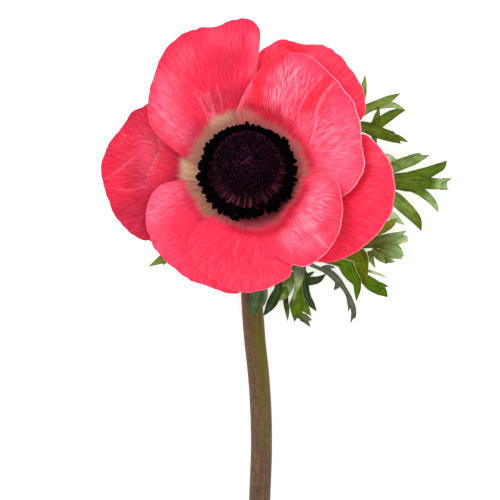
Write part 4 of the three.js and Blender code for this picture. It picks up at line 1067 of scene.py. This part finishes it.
# foot is where the collar starts and ends, in degrees round the node. Each blade is
# (colour, stops, forks): its colour, or its colours at the root and at the tip, then its
# stops, (x, y, z, half width). Each fork is (colour, stops) or (colour, stops, height over
# the blade that it grows from).
BRACTS = [
    dict(node="bract_1", foot=(62, -24), blades=[
        ("grass", [(20, 4, 11, 0.8), (31, 13, 9, 0.8), (35.5, 24, 4.5, 0.8),
            (36.3, 28.3, 2.2, 0.9), (36.9, 32.4, TOUCH, 0)]),
        ("grass", [(18, 2, 12, 0.8), (29, 14.5, 10, 1.1), (36.1, 20.8, 7.5, 1.3),
            (40.5, 22.9, 6.6, 1.2), (44.4, 24.7, 5.2, 1), (47.7, 26.5, 3.4, 0)],
         ("pale sage", [(36.7, 21, 7.3, 0.7), (41.1, 22.4, 6.5, 1), (45.3, 22.7, 5.4, 0.8),
             (47.2, 22, 4.7, 0.6), (49.2, 21.1, 3.8, 0.1)])),
        ("moss", [(17, -1, 12, 0.8), (27, 10, 10.5, 1.2), (35.1, 15.6, 8.8, 1.6),
            (39.5, 14.2, 8, 1.7), (43.7, 13, 6.2, 1.6), (46, 12, 4.9, 1.1), (47.8, 10.7, 4, 0)],
         ("leaf", [(36.6, 15.1, 8.5, 0.9), (39.8, 16.2, 8.1, 1.5), (43, 18.4, 7.4, 1.5),
             (45.9, 20.1, 6.4, 1.1), (49.2, 21.1, 5.2, 0)]),
         ("leaf", [(39.3, 15.9, 8.1, 1.1), (40.1, 18.7, 7.9, 0.9), (40.8, 21.9, 7.2, 0)]),
         ("moss grass", [(42.1, 14.1, 7, 0.8), (44.3, 14.1, 6.2, 0.5), (46, 14, 5.6, 0)]),
         ("moss grass", [(43.7, 13, 6.2, 0.9), (47.1, 12.4, 4.9, 0.8), (50.2, 11.2, 3.6, 0)]),
         ("moss grass", [(38.5, 13.7, 8, 0.7), (39.4, 11.9, 7.4, 0.5), (40.1, 10.4, 6.8, 0)])),
        ("grass willow", [(16, -5, 11.5, 0.8), (30, -0.6, 10, 1.2), (44.5, 2.8, 7.2, 1.7),
            (48, 4.2, 6.4, 1.7), (51.6, 5.4, 5.2, 1.5), (54.2, 6.2, 4.4, 0.9), (56.9, 7, 3.6, 0)],
         ("grass willow", [(49.3, 5.4, 6, 0.9), (52.1, 6.6, 5, 0.8), (54.3, 7.7, 4.4, 0)]),
         ("tan", [(42.3, 6.8, 8.4, 0.4), (43.7, 6.7, 8, 0.3), (45.3, 6.2, 7.6, 0)], 1),
         ("pale grass", [(42.6, 6.4, 8.6, 0.5), (45.1, 5.4, 8, 0.6), (47.2, 4, 7.4, 0.1)], 1.2)),
        ("moss leaf", [(15, -7, 11, 0.9), (30, -4, 9.4, 1.8), (45.8, -1.4, 7.4, 2.4),
            (49.9, -1.5, 6.4, 2.9), (53.5, -1.5, 5.4, 2.6), (56.1, -1.6, 4.4, 1.3),
            (57.7, -1.7, 4, 0)],
         ("moss leaf", [(50.2, -0.5, 6.3, 2.1), (54.4, 0.7, 5, 2), (58.3, 2.4, 3.5, 1.5),
             (61, 3.8, 2.6, 1.1), (62.5, 5.4, 2, 0)]),
         ("leaf sage", [(53.5, -1.8, 5.3, 1.6), (57, -1.9, 4.1, 1.7), (60.3, -2, 2.9, 1.6),
             (62.6, -2, 2, 1.3)]),
         ("willow sage", [(60.6, -1.2, 2.8, 0.8), (62.6, -0.7, 2.1, 0.5), (64.2, -0.2, 1.5, 0)]),
         ("sage", [(60.5, -3, 2.8, 0.8), (61.9, -3.3, 2.3, 0.5), (63.2, -3.8, 1.8, 0)]),
         ("moss sage", [(50.3, -2.8, 6.2, 1.4), (53.5, -4.2, 4.9, 1.3), (57.1, -6.7, 3, 1.1),
             (59, -8.9, 1.6, 0.7), (60, -10.8, 0.6, 0)])),
        ("grass leaf", [(14, -9, 11, 0.8), (28, -6.6, 9.4, 1.6), (44.8, -6.3, 7.6, 2),
            (48.1, -8.7, 6.2, 2), (51, -11.3, 4.6, 1.8), (53.2, -13.8, 3, 1.3),
            (54.5, -16.7, 2, 0)]),
        ("pale", [(13, -11, 9, 0.8), (28, -9.6, 7, 1), (43.8, -11.5, 5, 1.1),
            (46.1, -12.8, 3.6, 1.1), (49.1, -14.8, 2, 0)]),
    ]),
    dict(node="bract_2", foot=(-32, -124), blades=[
        ("brass lime", [(12, -15, 13, 0.8), (26, -17.5, 12, 0.8), (40.3, -17.5, 10.4, 0.7),
            (42.7, -15.8, 9.4, 1.2), (44.6, -14.4, 8.4, 1.1), (46.2, -13, 7.4, 0)]),
        ("umber sage", [(12, -16, 13, 0.8), (26, -20, 11.5, 1), (40.4, -19.8, 9, 1.3),
            (43.5, -19.2, 8.2, 1.4), (46.4, -18.4, 6.8, 1.1), (49.5, -16.7, 5.2, 0)],
         ("moss pale", [(43.2, -19.7, 8.2, 1.2), (46.1, -19.7, 7.2, 1.3), (48.4, -19.4, 6, 1.2),
             (49.9, -19.2, 5.2, 0.8)])),
        ("umber sage", [(11, -17, 13, 0.8), (25, -21.5, 10.6, 1), (39.1, -21.2, 8.4, 0.9),
            (42.3, -21, 7.8, 1.4), (45.4, -22, 6.4, 1.3), (47.3, -23.2, 5.2, 0.9),
            (48.8, -24.7, 4.4, 0)],
         ("moss pale", [(44.2, -21.2, 6.9, 0.8), (46.4, -21.7, 6, 0.6), (48.1, -22.5, 5.2, 0)]),
         ("umber sage", [(40.8, -22.3, 7.5, 0.7), (44, -23.6, 6.2, 1.1), (46.3, -24.5, 5, 1),
             (48.2, -25.3, 4, 0.3)]),
         ("umber willow", [(38.5, -22.7, 8, 0.9), (41.5, -24.7, 6.6, 1.5),
             (43.9, -26.1, 5.2, 1.2)]),
         ("moss pale", [(42.4, -24.9, 6.2, 0.6), (44.2, -25.2, 5.4, 0.5), (45.9, -25.5, 4.8, 0)]),
         ("moss sage", [(42.8, -25.9, 5.8, 0.6), (44.6, -26.3, 5, 0.5), (46.1, -26.5, 4.4, 0)]),
         ("umber willow", [(37.8, -23.1, 8.2, 0.7), (38.5, -25.9, 6.8, 0.7),
             (39.7, -28.3, 5.4, 0)])),
        ("brass", [(10, -18, 13.4, 0.8), (22, -22, 12, 1.8), (34.2, -24.5, 9.7, 2.6),
            (35.4, -28.4, 8, 2), (35.9, -30.7, 6.8, 1.3), (35.7, -33.3, 5.8, 0)],
         ("bright", [(35.9, -31.3, 5.8, 1.4), (38.2, -33.3, 5.2, 1.9), (40.7, -34.9, 4, 1.8),
             (42.5, -36.2, 3.2, 1.2), (43.8, -37.6, 2.6, 0)]),
         ("bright", [(39.7, -33.5, 4.8, 0.9), (42, -33.9, 3.8, 0.7), (44, -34.2, 3, 0)]),
         ("pale", [(36.7, -29.2, 6.9, 0.3), (40.3, -30.1, 5.2, 0.3), (43.5, -31.5, 3.8, 0)])),
        ("bright", [(9, -19, 13.4, 0.8), (19, -23.4, 12.2, 1.8), (30.5, -25.3, 9.6, 3.6),
            (31.7, -28.4, 8, 3), (33, -30.9, 6.4, 2.4), (34.1, -33.5, 4.9, 1.2),
            (34.2, -35.7, 3.6, 0.9), (34, -38.8, 2, 0)]),
        ("slate", [(8, -20, 13.6, 0.8), (17, -26, 13, 0.8), (21.4, -28.3, 11.6, 0.4),
            (24.7, -29.5, 11, 0.9), (27.7, -32.1, 9.8, 1), (30.1, -35.2, 8.2, 0.6),
            (31.9, -38.5, 6.4, 0.7), (33, -42, 4.4, 0.7), (32.2, -45.8, 2, 0)],
         ("grey", [(22.8, -28.4, 11.4, 0.5), (24.8, -28.1, 11, 0.6), (26.7, -28.2, 10.6, 0.1)]),
         ("grey", [(25, -29.1, 11, 0.5), (26.8, -29.7, 10.6, 0)]),
         ("grey dark", [(28.2, -32.6, 9.5, 0.9), (27.6, -34, 8.8, 0.7), (26.7, -35.3, 8.2, 0)]),
         ("grey", [(31, -36.6, 7.3, 0.5), (31.5, -39.4, 6, 0.5), (31.4, -42, 5, 0)]),
         ("slate grey", [(33, -41, 4.9, 0.5), (33.4, -42.9, 4, 0.4), (33.4, -44.5, 3.4, 0)])),
        ("dark", [(6, -20.5, 14, 0.8), (13, -26, 13.6, 1), (17.2, -30.5, 12.5, 1.1),
            (17.4, -34, 11.2, 1.2), (18.3, -37.5, 9, 1.1), (19.7, -39.8, 7, 0.9),
            (21.2, -41.8, 5.4, 0.1)],
         ("dark", [(17.1, -32.7, 11.6, 1.1), (19.6, -32.4, 11, 1.2), (21.9, -31.9, 10, 0.9),
             (24.1, -30.3, 9.2, 0)]),
         ("dark", [(17.4, -31.3, 12.3, 0.7), (18.9, -30.4, 12, 0.5), (20.3, -29.6, 11.4, 0.1)])),
        ("fresh leaf", [(5, -20, 15.4, 0.8), (10.5, -26, 16, 1.4), (15.7, -29, 14.8, 1.2),
            (15.5, -33.3, 12.4, 1), (15.4, -37.1, 10, 1.6), (15.2, -40, 8.4, 2.4),
            (14.8, -42.5, 6.6, 1.4), (14.4, -45.2, 5, 0)],
         ("slate sage", [(16, -26.5, 15.8, 1.8), (15.7, -29.3, 15.2, 1.8),
             (15.4, -32.4, 13.4, 1.2), (14.9, -35.7, 11.6, 0.2)], 0.45),
         ("fresh", [(16, -38.1, 9.6, 1.4), (17.5, -40.6, 8, 1.3), (19.6, -43.5, 6, 0)]),
         ("slate grey", [(15.5, -43, 6.2, 1), (17.7, -43.9, 5.2, 0.9), (19.7, -44.8, 4.4, 0.2)]),
         ("slate", [(16.6, -44.1, 5.2, 0.8), (18.2, -45.4, 4.2, 0.6), (19.4, -47, 3.4, 0)]),
         ("sage leaf", [(14.6, -34.9, 12.6, 0.2), (14.1, -38, 11, 0.5),
             (13.2, -40.9, 9.6, 0)], 0.5)),
        ("moss sage", [(5, -21, 13.6, 0.8), (9, -28, 14, 1.2), (12.6, -30.2, 13.6, 1.1),
            (12.8, -33.8, 12.6, 1.2), (12.5, -37.1, 11.4, 0)],
         ("moss leaf", [(11.3, -29.6, 13.8, 1.1), (10.4, -33, 13, 1.1), (11.3, -36.7, 11.6, 0)]),
         ("leaf sage", [(11.9, -34.6, 11.9, 0.4), (11, -36.8, 11.2, 1.1),
             (9.2, -38.3, 10.4, 0.2)], 0.45)),
        ("dark leaf", [(5, -21, 12, 0.8), (10.4, -29, 10.6, 1), (11.5, -35.9, 9.4, 0.6),
            (11.6, -38.4, 8.2, 0.7), (12.1, -41.9, 6.6, 0.6), (12.3, -44.9, 4.8, 0)]),
        ("dark", [(3, -20, 14.4, 0.8), (7.4, -27.5, 14.4, 1.2), (9.3, -34.4, 13, 1.1),
            (8.1, -37.6, 12, 1.5), (6.7, -40.2, 11, 1.3), (4.8, -43.1, 9.8, 0.1)]),
        ("pine", [(0.4, -19, 16, 0.8), (2.2, -27, 17, 1.6), (3, -34.2, 16.4, 1.6),
            (2.4, -37.6, 15.4, 2), (1.7, -40.4, 13.8, 1.6), (0.9, -43.3, 12.2, 0.2)],
         ("grey", [(4.6, -33.3, 15.6, 0.9), (5, -37, 14.4, 0.7), (4.6, -40.1, 13, 0)])),
    ]),
    dict(node="bract_3", foot=(214, 104), blades=[
        ("leaf grass", [(-7, -15, 12, 0.8), (-17, -20.4, 10, 1.2), (-25, -24.6, 6, 1.7),
            (-31.6, -28, TOUCH, 0)],
         ("leaf grass", [(-22.6, -22.6, 7.6, 0.9), (-27, -27.6, 4, 0)])),
        ("moss leaf", [(-8, -14, 12, 0.8), (-20, -16.4, 10, 1.4), (-29, -18.6, 6.6, 1.9),
            (-32.4, -19.2, 4.4, 0)],
         ("leaf grass", [(-26, -17.4, 8, 1.2), (-30.6, -15, 6, 1.1), (-33.6, -13.6, 4.6, 0)])),
        ("leaf grass", [(-9, -12.4, 11.6, 0.8), (-21, -10.6, 9.6, 1.5), (-30, -8.6, 6.4, 2.1),
            (-37, -7, 2.6, 0)],
         ("leaf grass", [(-26, -9.6, 7.6, 1.3), (-31, -4.8, 5.4, 1.2), (-35, -0.6, 3.6, 0)])),
        ("leaf grass", [(-8.6, -10.4, 11, 0.8), (-20, -3.6, 9, 1.4), (-28, 2.4, 5, 1.9),
            (-34, 7, TOUCH, 0)],
         ("moss leaf", [(-23, -1.6, 8, 1.2), (-26, 5, 5.8, 1.1), (-27.6, 10.6, 4, 0)])),
        ("moss leaf", [(-7, -8.6, 10.6, 0.8), (-14.6, 2.4, 9, 1.5), (-19.4, 10.6, 5.6, 2),
            (-23, 19, 2, 0)],
         ("leaf grass", [(-16, 4.8, 8.2, 1.3), (-16.4, 11, 6.6, 1.2), (-16, 16.6, 5, 0)])),
        ("leaf grass", [(-4.6, -7.2, 10, 0.8), (-8.4, 5, 9, 1.4), (-9.4, 14, 6, 1.9),
            (-10, 23, 2.6, 0)],
         ("moss leaf", [(-8.6, 6.6, 8.6, 1.2), (-6, 12.4, 7.4, 1.1), (-3.6, 17.6, 6, 0)])),
    ]),
]

COLLAR_HALF_HEIGHT = 0.9
BLADE_HALF_AT_COLLAR = 0.7
NODE_STEPS = 40
node_run = smooth_run(STEM_PLACES, NODE_STEPS)
node_step = NODE_INDEX * NODE_STEPS
node_along = unit(node_run[node_step + 1] - node_run[node_step - 1])
node_east = unit(np.array((1.0, 0, 0)) - node_along * node_along[0])
node_north = np.cross(node_along, node_east)


def collar_point(degrees, along_mm):
    """Place on the collar that a bract sits on: degrees round the node, and along it."""
    angle = np.radians(degrees)
    out = np.cos(angle)[..., None] * node_east + np.sin(angle)[..., None] * node_north
    r = NODE_R + BRACT_GAP + BRACT_THICKNESS / 2
    return node_run[node_step] + out * r + np.asarray(along_mm)[..., None] * node_along


def leaf_paint(colours, up, first, last):
    """Colour, midrib and margin at each place along a blade, from its root's to its tip's."""
    names = colours.split()
    root, tip = (np.array((*linear(LEAF_COLOURS[key][0])[:3], *LEAF_COLOURS[key][1:]))
                 for key in (names[0], names[-1]))
    return mix(root, tip, smoothstep(up, first, last)[:, None])


def finish_leaf(sheet, painted):
    """Gives a sheet its maps, from what is painted at its corners, materials and thickness."""
    red, green, blue, rib, edge = painted.T
    for key, values in zip(LEAF_MAPS, ((red, green), (blue, rib), (edge, edge))):
        layer = sheet.data.uv_layers.new(name=key)
        layer.data.foreach_set("uv", np.c_[values].astype(np.float32).ravel())
    thicken(sheet, leaf_top, leaf_under, BRACT_THICKNESS)


def leaf_strip(name, stops, colours, rows, seed, carrier=None, over=0.0):
    """A blade along its stops, a little hollow, with gently waved sides.

    A fork starts in the surface of its carrier, the run that it grows from, and takes its
    colour there. Gives the strip, and its run with half widths and colours.
    """
    run = smooth_run(stops, RUN_STEPS)
    length = np.r_[0, np.cumsum(np.linalg.norm(np.diff(run[:, :3], axis=0), axis=1))]
    even = np.linspace(0, length[-1], rows + 1)
    centre = np.c_[tuple(np.interp(even, length, run[:, k]) for k in range(4))]
    half = np.maximum(centre[:, 3], 0) + 0.1
    centre = centre[:, :3]
    turning = (0.2, 0.85) if carrier is not None else (0.78, 0.99)  # from root to tip colour
    body = np.c_[centre, half, leaf_paint(colours, np.linspace(0, 1, rows + 1), *turning)]
    sideways = unit(np.cross(unit(np.gradient(centre, axis=0)), (0, 0, 1.0)))
    strip, across, up = new_grid(name, LEAF_COLUMNS, rows)
    w = across * 2 - 1
    row = np.rint(up * rows).astype(int)
    width = half[row]
    points = centre[row] + sideways[row] * (w * width)[:, None]
    wave = np.sin(up * 9 + seed + 1.5 * np.sign(w))
    hollow = 0.14
    sag = hollow * width * w ** 2 + 0.05 * width * wave * w ** 2
    painted = leaf_paint(colours, up, *turning)
    if carrier is None:
        points[:, 2] += sag
    else:
        apart = np.hypot(points[:, :1] - carrier[:, 0], points[:, 1:2] - carrier[:, 1])
        nearest = np.argmin(apart, axis=1)
        apart = apart.min(axis=1)
        wide = carrier[nearest, 3]
        held = carrier[nearest, 2] + hollow * np.minimum(apart, wide) ** 2 / wide + over
        if over < 0:
            own = smoothstep(apart - wide, -0.6, 2.6)
            painted = mix(carrier[nearest, 4:], painted, own[:, None])
        else:
            own = smoothstep(up, 0.6, 1)
        points[:, 2] = mix(held, points[:, 2] + sag, own)
    set_points(strip, placed(points))
    corners = np.empty(len(strip.data.loops), int)
    strip.data.loops.foreach_get("vertex_index", corners)
    finish_leaf(strip, painted[corners])
    return strip, body


def bract_piece(spec, number):
    """A bract: its collar on the node, its blades and their forks, made one body."""
    first, last = spec["foot"]
    collar, across, up = new_grid(spec["node"], *COLLAR_GRID)
    height = mix(-COLLAR_HALF_HEIGHT, COLLAR_HALF_HEIGHT, up)
    set_points(collar, placed(collar_point(mix(last, first, across), height)))
    finish_leaf(collar, leaf_paint("leaf", np.zeros(len(collar.data.loops)), 0, 1))
    strips = []
    for i, (colours, stops, *forks) in enumerate(spec["blades"]):
        turn = mix(first, last, (i + 0.5) / len(spec["blades"]))
        root = collar_point(np.array(turn), np.array(0.0))
        stops = [(*root, BLADE_HALF_AT_COLLAR), *stops]
        seed = number * 20 + i
        strip, body = leaf_strip("blade", stops, colours, BLADE_ROWS, seed)
        strips.append(strip)
        for k, (fork_colours, fork_stops, *over) in enumerate(forks):
            fork, _ = leaf_strip("fork", fork_stops, fork_colours, FORK_ROWS, seed + k + 7, body,
                                 over[0] if over else FORK_SUNK)
            strips.append(fork)
    for strip in strips:
        apply_modifier(collar, "BOOLEAN", operation="UNION", solver="MANIFOLD", object=strip)
        bpy.data.objects.remove(strip)
    smooth_below(collar, 45)
    stand_for([collar], spec["node"])


leaf_top = leaf_finish("bract_leaf_satin", under=False)
leaf_under = leaf_finish("bract_leaf_matt_underside", under=True)
for number, spec in enumerate(BRACTS):
    bract_piece(spec, number)


# Floor, light and camera

FLOOR_BELOW = -0.0002  # in metres, so that what rests on the surface doesn't cut it
CAMERA_FROM_BLOOM = (0.45, -22.8, 562.5)


def flat_stage(name, size, at):
    floor = fresh(bpy.ops.mesh.primitive_plane_add, name, size=size, location=at)
    made, node = new_material("floor_matt_white")
    surface = node("BsdfPrincipled", {"Base Color": "#F6F6F6", "Roughness": 0.9,
                                      "Emission Color": "#FFFFFF", "Emission Strength": 0.4})
    node("OutputMaterial", (surface,))
    floor.data.materials.append(made)
    floor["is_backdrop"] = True


def soft_light(name, at, aim, size, watts):
    lamp = bpy.data.lights.new(name, "AREA")
    lamp.shape = "DISK"
    lamp.size = size
    lamp.energy = watts
    holder = bpy.data.objects.new(name, lamp)
    bpy.context.collection.objects.link(holder)
    holder.location = at
    holder.rotation_euler = (Vector(aim) - Vector(at)).to_track_quat("-Z", "Y").to_euler()


flat_stage("floor", 4.0, (0, 0, FLOOR_BELOW))
bloom_at = Vector(placed((0, 0, BLOOM_HEIGHT)))
soft_light("key_light", bloom_at + Vector((-0.35, 0.3, 0.6)), bloom_at, 0.5, 2.4)
soft_light("fill_light", bloom_at + Vector((0.3, -0.35, 0.7)), bloom_at, 0.7, 1.2)

world = bpy.data.worlds.new("studio")
world.use_nodes = True
world.node_tree.nodes["Background"].inputs[0].default_value = linear("#FFFFFF")
world.node_tree.nodes["Background"].inputs[1].default_value = 0.9
scene = bpy.context.scene
scene.world = world
scene.view_settings.view_transform = "Standard"

lens = bpy.data.cameras.new("camera")
lens.lens = 135
lens.sensor_width = 36
lens.clip_start, lens.clip_end = 0.01, 10
camera = bpy.data.objects.new("camera", lens)
bpy.context.collection.objects.link(camera)
camera.location = bloom_at + Vector(CAMERA_FROM_BLOOM) * MM
scene.camera = camera

({"cad": [list(corner) for corner in cad_box],
           "visual": [list(corner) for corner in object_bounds()]})
